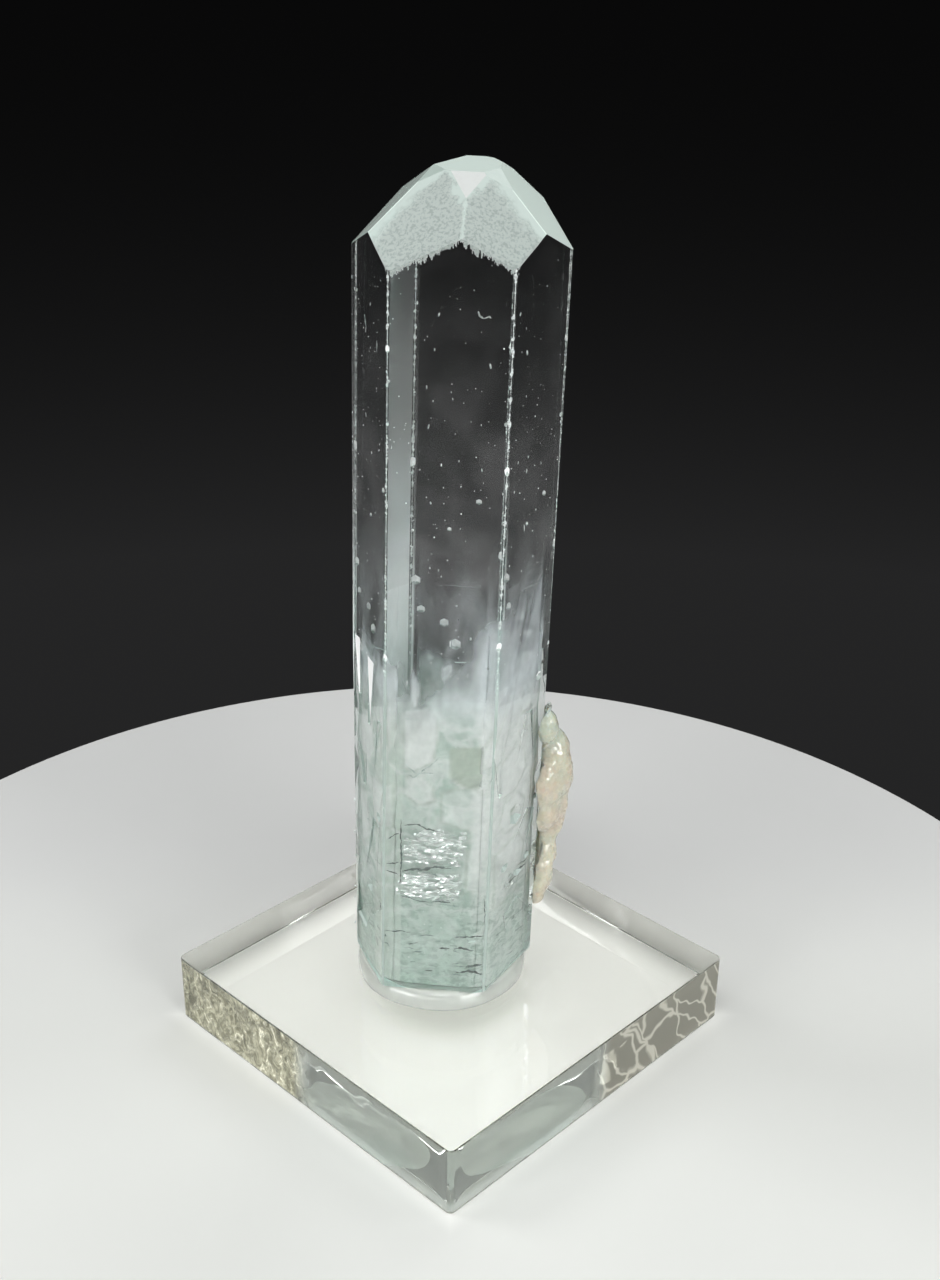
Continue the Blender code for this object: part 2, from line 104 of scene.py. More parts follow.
class ShaderGraph:
    """A material's node tree, with short ways to add and join nodes."""

    def __init__(self, name: str) -> None:
        """Start an empty material.

        Args:
            name: The material's name.
        """
        self.material = bpy.data.materials.new(name)
        self.material.use_nodes = True
        self.tree = self.material.node_tree
        self.tree.nodes.clear()
        self.output = self.add("ShaderNodeOutputMaterial")

    def add(self, kind: str, **settings: object) -> bpy.types.Node:
        """Add a node.

        Args:
            kind: The node's type name.
            **settings: Properties to set on it.

        Returns:
            The node.
        """
        made = self.tree.nodes.new(kind)
        for key, value in settings.items():
            setattr(made, key, value)
        return made

    def feed(self, socket: Socket, value: object) -> None:
        """Link a socket to an input, or set the input to a plain value.

        Args:
            socket: The input.
            value: An output socket, a number, a vector or a colour.
        """
        if isinstance(value, bpy.types.NodeSocket):
            self.tree.links.new(value, socket)
        elif isinstance(value, tuple) and socket.type == "RGBA":
            socket.default_value = (*value, 1.0)
        else:
            socket.default_value = value

    def math(self, operation: str, *values: object, clamp: bool = False) -> Socket:
        """Add a Math node.

        Args:
            operation: The operation's name.
            *values: Its inputs.
            clamp: Whether the result is kept between 0 and 1.

        Returns:
            The result.
        """
        made = self.add("ShaderNodeMath", operation=operation, use_clamp=clamp)
        for socket, value in zip(made.inputs, values):
            self.feed(socket, value)
        return made.outputs[0]

    def chain(self, operation: str, *values: object) -> Socket:
        """Join values by one operation, from the first to the last.

        Args:
            operation: The operation's name.
            *values: Two or more numbers or sockets.

        Returns:
            The result.
        """
        found = values[0]
        for value in values[1:]:
            found = self.math(operation, found, value)
        return found

    def product(self, *values: object) -> Socket:
        """Return the product of numbers and sockets."""
        return self.chain("MULTIPLY", *values)

    def most(self, *values: object) -> Socket:
        """Return the greatest of numbers and sockets."""
        return self.chain("MAXIMUM", *values)

    def vector_math(self, operation: str, first: object, second: object = None) -> bpy.types.Node:
        """Add a Vector Math node.

        Args:
            operation: The operation's name.
            first: A vector socket.
            second: A vector socket, a fixed vector or None.

        Returns:
            The node.
        """
        made = self.add("ShaderNodeVectorMath", operation=operation)
        self.feed(made.inputs[0], first)
        if second is not None:
            self.feed(made.inputs[1], second)
        return made

    def stretch(self, vector: object, parts: Sequence[float]) -> Socket:
        """Return a vector socket multiplied part by part."""
        return self.vector_math("MULTIPLY", vector, tuple(parts)).outputs["Vector"]

    def dot(self, vector: object, normal: Sequence[float]) -> Socket:
        """Return the dot product of a vector socket with a fixed direction."""
        return self.vector_math("DOT_PRODUCT", vector, tuple(normal)).outputs["Value"]

    def parts(self, vector: Socket) -> Sequence[Socket]:
        """Return the three parts of a vector socket."""
        made = self.add("ShaderNodeSeparateXYZ")
        self.feed(made.inputs[0], vector)
        return made.outputs

    def step(
        self, value: object, low: float, high: float, first: float = 0.0, last: float = 1.0
    ) -> Socket:
        """Ease between two numbers.

        Args:
            value: The value that is read.
            low: Where the result is first.
            high: Where the result is last.
            first: The result at low.
            last: The result at high.

        Returns:
            The eased number.
        """
        turned = high < low
        if turned:
            low, high, first, last = high, low, last, first
        made = self.add("ShaderNodeMapRange", interpolation_type="SMOOTHSTEP")
        numbers = {"From Min": low, "From Max": high, "To Min": first, "To Max": last}
        for name, number in numbers.items():
            made.inputs[name].default_value = number
        self.feed(made.inputs["Value"], value)
        return made.outputs["Result"]

    def noise(
        self,
        vector: object,
        scale: float,
        detail: float = 2.0,
        roughness: float = 0.5,
        warp: float = 0.0,
    ) -> Socket:
        """Add a noise texture.

        Args:
            vector: Where it is read.
            scale: Its scale.
            detail: Its octaves.
            roughness: How strong the finer octaves are.
            warp: How far it is warped.

        Returns:
            Its value, from 0 to 1.
        """
        made = self.add("ShaderNodeTexNoise")
        self.feed(made.inputs["Vector"], vector)
        numbers = {"Scale": scale, "Detail": detail, "Roughness": roughness, "Distortion": warp}
        for name, number in numbers.items():
            made.inputs[name].default_value = number
        return made.outputs["Fac"]

    def cell_edges(self, vector: Socket) -> Socket:
        """Add a Voronoi texture at a scale of 1.

        Args:
            vector: Where it is read.

        Returns:
            The distance to the nearest edge between two cells.
        """
        made = self.add("ShaderNodeTexVoronoi", feature="DISTANCE_TO_EDGE")
        self.feed(made.inputs["Vector"], vector)
        made.inputs["Scale"].default_value = 1.0
        return made.outputs["Distance"]

    def warped(self, place: Socket, scale: float, reach: float) -> Socket:
        """Shift a place by noise.

        Args:
            place: The place.
            scale: The noise's scale.
            reach: How far it shifts, at most.

        Returns:
            The shifted place.
        """
        shift = self.add("ShaderNodeTexNoise")
        self.feed(shift.inputs["Vector"], place)
        shift.inputs["Scale"].default_value = scale
        move = self.stretch(shift.outputs["Color"], (reach, reach, reach))
        return self.vector_math("ADD", place, move).outputs["Vector"]

    def attribute(self, name: str) -> Socket:
        """Return the value of a mesh attribute."""
        return self.add("ShaderNodeAttribute", attribute_name=name).outputs["Fac"]

    def blend(self, share: object, first: object, second: object) -> Socket:
        """Mix two colours.

        Args:
            share: How much of the second is used.
            first: A colour.
            second: A colour.

        Returns:
            The mixed colour.
        """
        made = self.add("ShaderNodeMix", data_type="RGBA")
        self.feed(made.inputs[0], share)
        self.feed(made.inputs[6], first)
        self.feed(made.inputs[7], second)
        return made.outputs[2]

    def place(self, placed: Matrix | None = None) -> Socket:
        """Return Object coordinates in millimetres, in the model's frame or a placed one.

        Args:
            placed: The matrix from the placed frame to the model's, or None.

        Returns:
            The coordinates.
        """
        vector = self.add("ShaderNodeTexCoord").outputs["Object"]
        if placed is not None:
            turned = self.add("ShaderNodeMapping", vector_type="TEXTURE")
            turned.inputs["Location"].default_value = placed.to_translation()
            turned.inputs["Rotation"].default_value = placed.to_euler("XYZ")
            self.feed(turned.inputs["Vector"], vector)
            vector = turned.outputs["Vector"]
        return self.stretch(vector, (1 / MM, 1 / MM, 1 / MM))

    def bump(self, height: object, distance: float) -> Socket:
        """Add a Bump node.

        Args:
            height: The height, from 0 to 1.
            distance: How far a height of 1 stands up.

        Returns:
            The bumped normal.
        """
        made = self.add("ShaderNodeBump")
        made.inputs["Distance"].default_value = distance
        self.feed(made.inputs["Height"], height)
        return made.outputs["Normal"]

    def surface(self, **inputs: object) -> bpy.types.Node:
        """Add the Principled shader and join it to the output.

        Args:
            **inputs: Its input names, with underscores for spaces, and their values.

        Returns:
            The shader node.
        """
        made = self.add("ShaderNodeBsdfPrincipled")
        for key, value in inputs.items():
            self.feed(made.inputs[key.replace("_", " ")], value)
        self.feed(self.output.inputs["Surface"], made.outputs["BSDF"])
        return made

    def absorb(self, colour: Colour, density: float) -> None:
        """Give the inside a plain absorption.

        Args:
            colour: What is let through.
            density: How much is absorbed per metre.
        """
        made = self.add("ShaderNodeVolumeAbsorption")
        made.inputs["Color"].default_value = (*colour, 1.0)
        made.inputs["Density"].default_value = density
        self.feed(self.output.inputs["Volume"], made.outputs["Volume"])


# ---------------------------------------- the crystal's frame


@dataclass(frozen=True)
class CrystalFrame:
    """Where the crystal stands, how it leans, and the planes of its faces.

    Prism faces are counted from the front one, 60 degrees apart, and prism edge k stands between
    faces k and k + 1. Heights are above the base's top, along the crystal's axis.
    """

    foot: Triple = (-0.87 * MM, 0.80 * MM, 9.525 * MM)
    lean_about_x: float = math.radians(2.96)
    lean_about_y: float = math.radians(-1.22)
    heading: float = math.radians(-50.85)
    step: float = 60.0
    prism: tuple[float, ...] = (9.65 * MM, 10.24 * MM, 9.78 * MM, 10.20 * MM, 9.63 * MM, 10.54 * MM)
    pyramid_tops: tuple[float, ...] = (104.2, 104.5, 105.1, 105.3, 104.1, 104.2)
    edge_pyramid_tops: tuple[float, ...] = (106.3, 106.2, 107.5, 107.8, 105.8, 105.6)
    pyramid_slope: float = math.atan(0.4989 * 2 / math.sqrt(3))
    edge_pyramid_slope: float = math.atan(0.4989 * 2)
    foot_height: float = 2.65 * MM
    foot_breaks: tuple[Triple, ...] = (
        (165.0, 9.0, 1.75 * MM), (70.0, 14.0, 0.75 * MM), (250.0, 11.0, 1.35 * MM)
    )

    def matrix(self) -> Matrix:
        """Return the matrix from the crystal's frame to the model's."""
        about_x = Matrix.Rotation(self.lean_about_x, 4, "X")
        lean = about_x @ Matrix.Rotation(self.lean_about_y, 4, "Y")
        return Matrix.Translation(self.foot) @ lean @ Matrix.Rotation(self.heading, 4, "Z")

    def outward(self, turn: float, slope: float = math.pi / 2) -> Vector:
        """Return a direction in the crystal's frame.

        Args:
            turn: Degrees from the front face's normal.
            slope: Radians from the crystal's axis.

        Returns:
            The unit vector.
        """
        angle = math.radians(turn)
        flat = math.sin(slope)
        return Vector((flat * math.sin(angle), -flat * math.cos(angle), math.cos(slope)))

    def normal(self, faces: float, slope: float = math.pi / 2) -> Vector:
        """Return a direction so many prism faces round from the front one."""
        return self.outward(self.step * faces, slope)

    def low_plane(self, face: int) -> tuple[Vector, float]:
        """Return the normal of the low tip face above a prism face, and its distance in mm."""
        slope = self.pyramid_slope
        return self.normal(face, slope), self.pyramid_tops[face] * math.cos(slope)

    def steep_plane(self, edge: int) -> tuple[Vector, float]:
        """Return the normal of the steep tip face above a prism edge, and its distance in mm."""
        slope = self.edge_pyramid_slope
        return self.normal(edge + 0.5, slope), self.edge_pyramid_tops[edge] * math.cos(slope)

    def drawn_in(self, depth: float) -> CrystalFrame:
        """Return the frame with its prism faces drawn in by a depth."""
        return replace(self, prism=tuple(distance - depth for distance in self.prism))

    def edge_point(self, edge: int, height: float) -> Vector:
        """Find a point of a prism edge.

        Args:
            edge: The edge.
            height: The height.

        Returns:
            The point in the crystal's frame.
        """
        near, far = self.normal(edge), self.normal(edge + 1)
        rows = Matrix(((near.x, near.y), (far.x, far.y)))
        place = rows.inverted() @ Vector((self.prism[edge], self.prism[(edge + 1) % 6]))
        return Vector((place.x, place.y, height))

    def sides(self, face: int, height: float) -> tuple[Vector, Vector]:
        """Return the left and right end of a prism face at a height."""
        return self.edge_point((face - 1) % 6, height), self.edge_point(face, height)

    def behind(self, face: int, across: float, height: float, inside: float) -> Matrix:
        """Return the matrix of a place behind a prism face: X across it, Y up it, Z out of it.

        Args:
            face: The prism face.
            across: The distance across it, to the right as seen from outside.
            height: The height.
            inside: The distance behind it.

        Returns:
            The matrix in the crystal's frame.
        """
        out, right = self.normal(face), self.normal(face + 1.5)
        place = out * (self.prism[face] - inside) + right * across + Vector((0, 0, height))
        turn = Matrix((right, UP, out)).transposed().to_4x4()
        return Matrix.Translation(place) @ turn


# ---------------------------------------- finishes


@dataclass(frozen=True)
class BerylTint:
    """What the beryl lets through: little is lost in the depth, more at the lower faces."""

    ior: float = 1.577
    through: Colour = (0.86, 0.955, 0.93)
    density: float = 9.0
    lower: Colour = (0.95, 0.99, 0.98)
    lower_from: float = 62.0
    lower_full: float = 34.0

    def finish(
        self, graph: ShaderGraph, cover: Socket, clear: object, white: object, roughness: object
    ) -> Material:
        """Finish a beryl material.

        Args:
            graph: The material.
            cover: The share that is whitish and lets no light through.
            clear: What the clear share lets through.
            white: The whitish share's colour.
            roughness: The roughness of both.

        Returns:
            The material.
        """
        graph.surface(
            Base_Color=graph.blend(cover, clear, white),
            Roughness=roughness,
            Transmission_Weight=graph.math("SUBTRACT", 1.0, cover),
            IOR=self.ior,
        )
        graph.absorb(self.through, self.density)
        return graph.material

    def colour(self, graph: ShaderGraph, height: Socket) -> Socket:
        """Return what a face lets through at a height in millimetres."""
        low = graph.step(height, self.lower_from, self.lower_full)
        return graph.blend(low, (1.0, 1.0, 1.0), self.lower)


@dataclass(frozen=True)
class PolishedBerylFinish:
    """Clear beryl: polished prism, frosted steep tip faces and a satin back left face."""

    frame: CrystalFrame
    tint: BerylTint
    frosted_edges: tuple[int, ...] = (5, 0, 2, 3)
    front_edges: tuple[int, int] = (5, 0)
    front_face: int = 0
    satin_face: int = 4
    teeth: float = 0.60
    margin: Spot = (0.08, 0.34)
    bare_margin: Spot = (0.35, 1.3)
    skin: float = 0.6
    bloom: float = 0.012
    frost_dark: Colour = (0.165, 0.205, 0.188)
    frost_pale: Colour = (0.275, 0.318, 0.298)
    # The next two tones paint the light seen through the tip's polished margins and bare faces.
    margin_painted_light: Colour = (0.41, 0.49, 0.455)
    bare_painted_light: Colour = (0.70, 0.82, 0.76)
    satin_tone: Colour = (0.93, 0.99, 0.975)

    def tip_frost(self, graph: ShaderGraph, place: Socket) -> Socket:
        """Work out how frosted the tip is.

        Args:
            graph: The material.
            place: The place in the crystal's frame, in millimetres.

        Returns:
            0 where it is polished and 1 where it is frosted.
        """
        frame = self.frame
        comb = graph.noise(graph.stretch(place, (3.0, 3.0, 0.9)), 1.0, 3.0, 0.65)
        reach = graph.step(comb, 0.34, 0.70, 0.0, self.teeth)
        reach = graph.product(reach, self.on_face(graph, place, self.front_face))
        wander = graph.step(graph.noise(place, 0.9, 3.0, 0.6), 0.3, 0.7, -0.25, 0.25)
        frosted = []
        for edge in self.frosted_edges:
            near = graph.step(graph.math("ADD", self.depth(graph, place, edge), reach), -0.08, 0.02)
            beside = ((edge - 1) % 6, (edge + 1) % 6)
            bounds = [
                (*frame.steep_plane(other), self.bare_margin)
                for other in beside
                if other not in self.frosted_edges
            ]
            bounds += [(*frame.low_plane(face), self.margin) for face in (edge, (edge + 1) % 6)]
            for normal, top, margin in bounds:
                gap = graph.math("SUBTRACT", top, graph.dot(place, normal))
                near = graph.product(near, graph.step(graph.math("ADD", gap, wander), *margin))
            frosted.append(near)
        return graph.most(*frosted)

    def depth(self, graph: ShaderGraph, place: Socket, edge: int) -> Socket:
        """Return how far out a place is from the plane of a steep tip face."""
        normal, top = self.frame.steep_plane(edge)
        return graph.math("SUBTRACT", graph.dot(place, normal), top)

    def ridge(self, graph: ShaderGraph, place: Socket) -> Socket:
        """Find the ridge between the two front frosted faces.

        Args:
            graph: The material.
            place: The place in the crystal's frame, in millimetres.

        Returns:
            1 along the ridge and 0 away from it.
        """
        depths = (self.depth(graph, place, edge) for edge in self.front_edges)
        apart = graph.math("ABSOLUTE", graph.math("SUBTRACT", *depths))
        wander = graph.step(graph.noise(place, 2.2, 3.0, 0.6), 0.3, 0.7, 0.03, 0.20)
        return graph.step(graph.math("SUBTRACT", apart, wander), 0.06, -0.03)

    def bare(self, graph: ShaderGraph, place: Socket) -> Socket:
        """Find the steep tip faces that aren't frosted.

        Args:
            graph: The material.
            place: The place in the crystal's frame, in millimetres.

        Returns:
            1 on them and 0 away from them.
        """
        found = []
        for edge in (edge for edge in range(6) if edge not in self.frosted_edges):
            normal, top = self.frame.steep_plane(edge)
            found.append(graph.step(graph.dot(place, normal), top - 0.08, top - 0.02))
        return graph.most(*found)

    def on_face(self, graph: ShaderGraph, place: Socket, face: int) -> Socket:
        """Return 1 at a prism face's plane and 0 away from it."""
        out, plane = graph.dot(place, self.frame.normal(face)), self.frame.prism[face] / MM
        return graph.step(out, plane - self.skin, plane - 0.5 * self.skin)

    def material(self, frosted: bool) -> Material:
        """Make the material.

        Args:
            frosted: Whether it is for the tip, whose frosting also has a grain.

        Returns:
            The material.
        """
        graph = ShaderGraph("aquamarine_frosted_tip" if frosted else "aquamarine_polished")
        place = graph.place(self.frame.matrix())
        height = graph.parts(place)[2]
        frost = self.tip_frost(graph, place)
        fine = graph.noise(place, 3.0, 2.0, 0.6)
        speck = graph.step(fine, 0.36, 0.56)
        upper = graph.step(height, 92.0, 54.0, 0.05, 0.26)
        dense = graph.math("ADD", upper, graph.step(height, 63.0, 47.0, 0.0, 0.70))
        satin = graph.product(self.on_face(graph, place, self.satin_face), dense)
        bloom = graph.noise(place, 0.16, 3.0, 0.6)
        bloom = graph.step(bloom, 0.38, 0.66, self.bloom, 2.5 * self.bloom)
        bloom = graph.product(bloom, graph.step(height, 98.0, 45.0, 0.3, 2.6))
        dust = graph.step(graph.noise(place, 5.5, 2.0, 0.7), 0.70, 0.80, 0.0, 0.30)
        veiled = graph.most(satin, bloom, dust)
        grain = graph.blend(speck, self.frost_dark, self.frost_pale)
        if frosted:
            # The tip is nearly all matte: its polished margins and bare faces are painted in aqua
            # tones, painted light that stands in for the floor seen through them.
            matte: Socket = graph.step(frost, 0.0, 1.0, 0.90, 0.95)
            smooth = graph.blend(self.bare(graph, place), self.margin_painted_light, self.bare_painted_light)
            worn = graph.step(self.ridge(graph, place), 0.0, 1.0, 1.0, 0.35)
            white = graph.blend(graph.product(frost, worn), smooth, grain)
        else:
            matte = graph.most(graph.product(frost, 0.95), veiled)
            white = graph.blend(frost, self.satin_tone, grain)
        rough = graph.most(graph.product(frost, 0.5), graph.product(satin, 0.4))
        return self.tint.finish(graph, matte, self.tint.colour(graph, height), white, rough)


@dataclass(frozen=True)
class EtchedBerylFinish:
    """Etched beryl: the pits, the broken foot and the satin end and low tip faces."""

    frame: CrystalFrame
    tint: BerylTint
    name: str
    roughness: float
    clearest: float
    whitest: float
    white: Colour
    grain: float

    def material(self) -> Material:
        """Make the material.

        Returns:
            The material.
        """
        graph = ShaderGraph(self.name)
        place = graph.place(self.frame.matrix())
        pale = graph.step(graph.noise(place, self.grain, 4.0, 0.7), 0.36, 0.62)
        cover = graph.step(pale, 0.0, 1.0, 1.0 - self.clearest, self.whitest)
        return self.tint.finish(graph, cover, self.tint.lower, self.white, self.roughness)


@dataclass(frozen=True)
class EdgeFinish:
    """The blunt prism edges: an uneven white line of fine chips, fading lower down."""

    frame: CrystalFrame
    tint: BerylTint
    white: Colour = (0.70, 0.76, 0.74)
    aqua: Colour = (0.245, 0.315, 0.28)
    pale_aqua: Colour = (0.30, 0.38, 0.34)
    narrow: float = 0.02
    wide: float = 0.24
    roughness: float = 0.25

    def material(self) -> Material:
        """Make the material.

        Returns:
            The material.
        """
        graph = ShaderGraph("aquamarine_etched_edge")
        place = graph.place(self.frame.matrix())
        height = graph.parts(place)[2]
        sides = []
        for edge in range(6):
            across, out = self.frame.normal(edge + 2), self.frame.normal(edge + 0.5)
            middle = self.frame.edge_point(edge, 0.0).dot(across) / MM
            side = graph.math("ABSOLUTE", graph.math("SUBTRACT", graph.dot(place, across), middle))
            beyond = graph.step(graph.dot(place, out), 2.0, 4.0, 5.0, 0.0)
            sides.append(graph.math("ADD", side, beyond))
        off = graph.chain("MINIMUM", *sides)
        beads = graph.noise(graph.stretch(place, (0.9, 0.9, 1.5)), 1.0, 4.0, 0.65)
        reach = graph.step(beads, 0.47, 0.70, self.narrow, self.wide)
        line = graph.step(graph.math("SUBTRACT", off, reach), 0.06, -0.03)
        fine = graph.step(graph.noise(place, 3.5, 2.0, 0.6), 0.30, 0.60, 0.35, 1.0)
        low = graph.step(height, 54.0, 42.0)
        cover = graph.most(graph.product(line, fine, 0.90), graph.product(low, 0.80))
        white = graph.blend(low, self.white, graph.blend(line, self.aqua, self.pale_aqua))
        return self.tint.finish(graph, cover, self.tint.lower, white, self.roughness)


@dataclass(frozen=True)
class MilkFinish:
    """The milky lower beryl: smoky blue in its upper wisps, pale aqua below; painted light whitens
    the right face.
    """

    frame: CrystalFrame
    smoke: Colour = (0.86, 0.91, 0.94)
    deep: Colour = (0.53, 0.655, 0.585)
    pale: Colour = (0.78, 0.85, 0.80)
    white: Colour = (0.98, 0.99, 0.975)
    olive: Colour = (0.52, 0.60, 0.50)
    foot: Colour = (0.62, 0.76, 0.68)
    murk: Colour = (0.38, 0.50, 0.44)
    column: Colour = (0.74, 0.82, 0.75)
    painted_light_face: int = 1

    def material(self) -> Material:
        """Make the material.

        Returns:
            The material.
        """
        graph = ShaderGraph("aquamarine_milk")
        place = graph.place(self.frame.matrix())
        x, y, height = graph.parts(place)
        cloud = graph.noise(graph.stretch(place, (0.34, 0.34, 0.42)), 1.0, 4.0, 0.6, 0.8)
        body = graph.blend(graph.step(cloud, 0.36, 0.66), self.deep, self.pale)
        body = graph.blend(graph.step(height, 20.0, 6.0), body, self.foot)
        # Painted light: the milk behind the right face is whitened where that face catches too
        # little light.
        plane = self.frame.prism[self.painted_light_face] / MM
        right = graph.dot(place, self.frame.normal(self.painted_light_face))
        right = graph.step(right, plane - 3.0, plane - 2.2, 0.0, 0.95)
        right = graph.product(right, graph.step(height, 12.0, 24.0, 0.4, 1.0))
        body = graph.blend(right, body, self.white)
        mottle = graph.noise(graph.stretch(place, (0.8, 0.8, 1.3)), 1.0, 4.0, 0.65, 0.6)
        mottle = graph.step(mottle, 0.46, 0.62)
        mottle = graph.product(mottle, graph.step(height, 22.0, 12.0, 0.15, 0.75))
        body = graph.blend(mottle, body, self.murk)
        strip = graph.product(graph.step(x, -4.35, -4.55), graph.step(y, -5.5, -6.5), 0.75)
        body = graph.blend(strip, body, self.column)
        lobes = graph.stretch(graph.warped(place, 0.28, 5.0), (0.20, 0.20, 0.26))
        veins = graph.step(graph.cell_edges(lobes), 0.16, 0.0, 0.0, 0.50)
        veins = graph.product(veins, graph.step(height, 10.0, 20.0, 0.4, 1.0))
        body = graph.blend(veins, body, self.white)
        body = graph.blend(graph.attribute(PALE_ZONE), body, self.white)
        body = graph.blend(graph.attribute(OLIVE_ZONE), body, self.olive)
        fine = graph.noise(graph.stretch(place, (0.9, 0.9, 0.7)), 1.0, 3.0, 0.6)
        fine = graph.step(fine, 0.3, 0.7, 0.88, 1.0)
        graph.surface(
            Base_Color=graph.blend(graph.step(height, 47.0, 39.0), self.smoke, body),
            Roughness=0.8,
            Alpha=graph.product(graph.attribute(MILK), fine),
            Specular_IOR_Level=0.0,
        )
        return graph.material


@dataclass(frozen=True)
class PlainFinish:
    """A small inner feature's finish: its two tones and how shiny it is."""

    name: str
    dark: Colour
    pale: Colour
    roughness: float
    metallic: float = 0.0
    grain: float = 0.9

    def material(self) -> Material:
        """Make the material.

        Returns:
            The material.
        """
        graph = ShaderGraph(self.name)
        shade = graph.step(graph.noise(graph.place(), self.grain, 3.0, 0.6), 0.35, 0.65)
        graph.surface(
            Base_Color=graph.blend(shade, self.dark, self.pale),
            Roughness=self.roughness,
            Metallic=self.metallic,
        )
        return graph.material


SILVER_FILM = PlainFinish(
    "silver_film", (0.84, 0.90, 0.87), (0.99, 0.995, 0.99), 0.20, metallic=0.45, grain=1.4
)
CRACK_HAIR = PlainFinish("crack_hair", (0.16, 0.24, 0.21), (0.36, 0.46, 0.42), 0.6)
CRACK_SHADOW = PlainFinish("crack_shadow", (0.035, 0.06, 0.05), (0.10, 0.15, 0.13), 0.7)
CRACK_GREY = PlainFinish("crack_grey", (0.34, 0.42, 0.39), (0.62, 0.70, 0.67), 0.5)
FIBRE_WHITE = PlainFinish("fibre_white", (0.50, 0.55, 0.53), (0.84, 0.88, 0.86), 0.5)
SPECK_WHITE = PlainFinish("beryl_specks", (0.66, 0.72, 0.70), (0.92, 0.95, 0.93), 0.4)
CHIP_WHITE = PlainFinish("beryl_chips", (0.70, 0.76, 0.75), (0.94, 0.96, 0.95), 0.4, grain=1.6)


@dataclass(frozen=True)
class FeldsparFinish:
    """Waxy cream feldspar, beige-pink in cloudy patches and greenish where clear, darkened as
    painted shade.
    """

    # These tones are darkened below the crust's own cream as painted shade, for the shaded side it
    # lies on.
    cream: Colour = (0.50, 0.50, 0.40)
    pink: Colour = (0.50, 0.445, 0.36)
    green: Colour = (0.46, 0.50, 0.42)

    def material(self) -> Material:
        """Make the material.

        Returns:
            The material.
        """
        graph = ShaderGraph("feldspar_waxy")
        place = graph.place()
        height = graph.parts(place)[2]
        clouds = graph.step(graph.noise(place, 0.30, 3.0, 0.55), 0.40, 0.66)
        clear = graph.step(height, 41.0, 45.0)
        colour = graph.blend(clear, graph.blend(clouds, self.cream, self.pink), self.green)
        graph.surface(
            Base_Color=colour,
            Roughness=graph.step(graph.noise(place, 1.1, 3.0, 0.6), 0.35, 0.65, 0.16, 0.34),
            Coat_Weight=0.5,
            Coat_Roughness=0.08,
            Subsurface_Weight=0.75,
            Subsurface_Radius=(1.8, 1.2, 0.8),
            Subsurface_Scale=1.0 * MM,
            IOR=1.53,
            Normal=graph.bump(graph.noise(place, 1.0, 3.0, 0.55), 0.10 * MM),
        )
        return graph.material


@dataclass(frozen=True)
class AdhesiveFinish:
    """Set clear adhesive with a smooth, slightly cloudy skin."""

    cloud: float = 0.42
    clear: Colour = (0.985, 0.99, 0.97)
    hazy: Colour = (0.79, 0.88, 0.79)

    def material(self) -> Material:
        """Make the material.

        Returns:
            The material.
        """
        graph = ShaderGraph("adhesive_set")
        uneven = graph.noise(graph.place(), 0.25, 2.0, 0.5)
        haze = graph.step(uneven, 0.35, 0.65, 0.85 * self.cloud, self.cloud)
        graph.surface(
            Base_Color=graph.blend(haze, self.clear, self.hazy),
            Roughness=0.06,
            Transmission_Weight=graph.math("SUBTRACT", 1.0, haze),
            IOR=1.48,
        )
        return graph.material


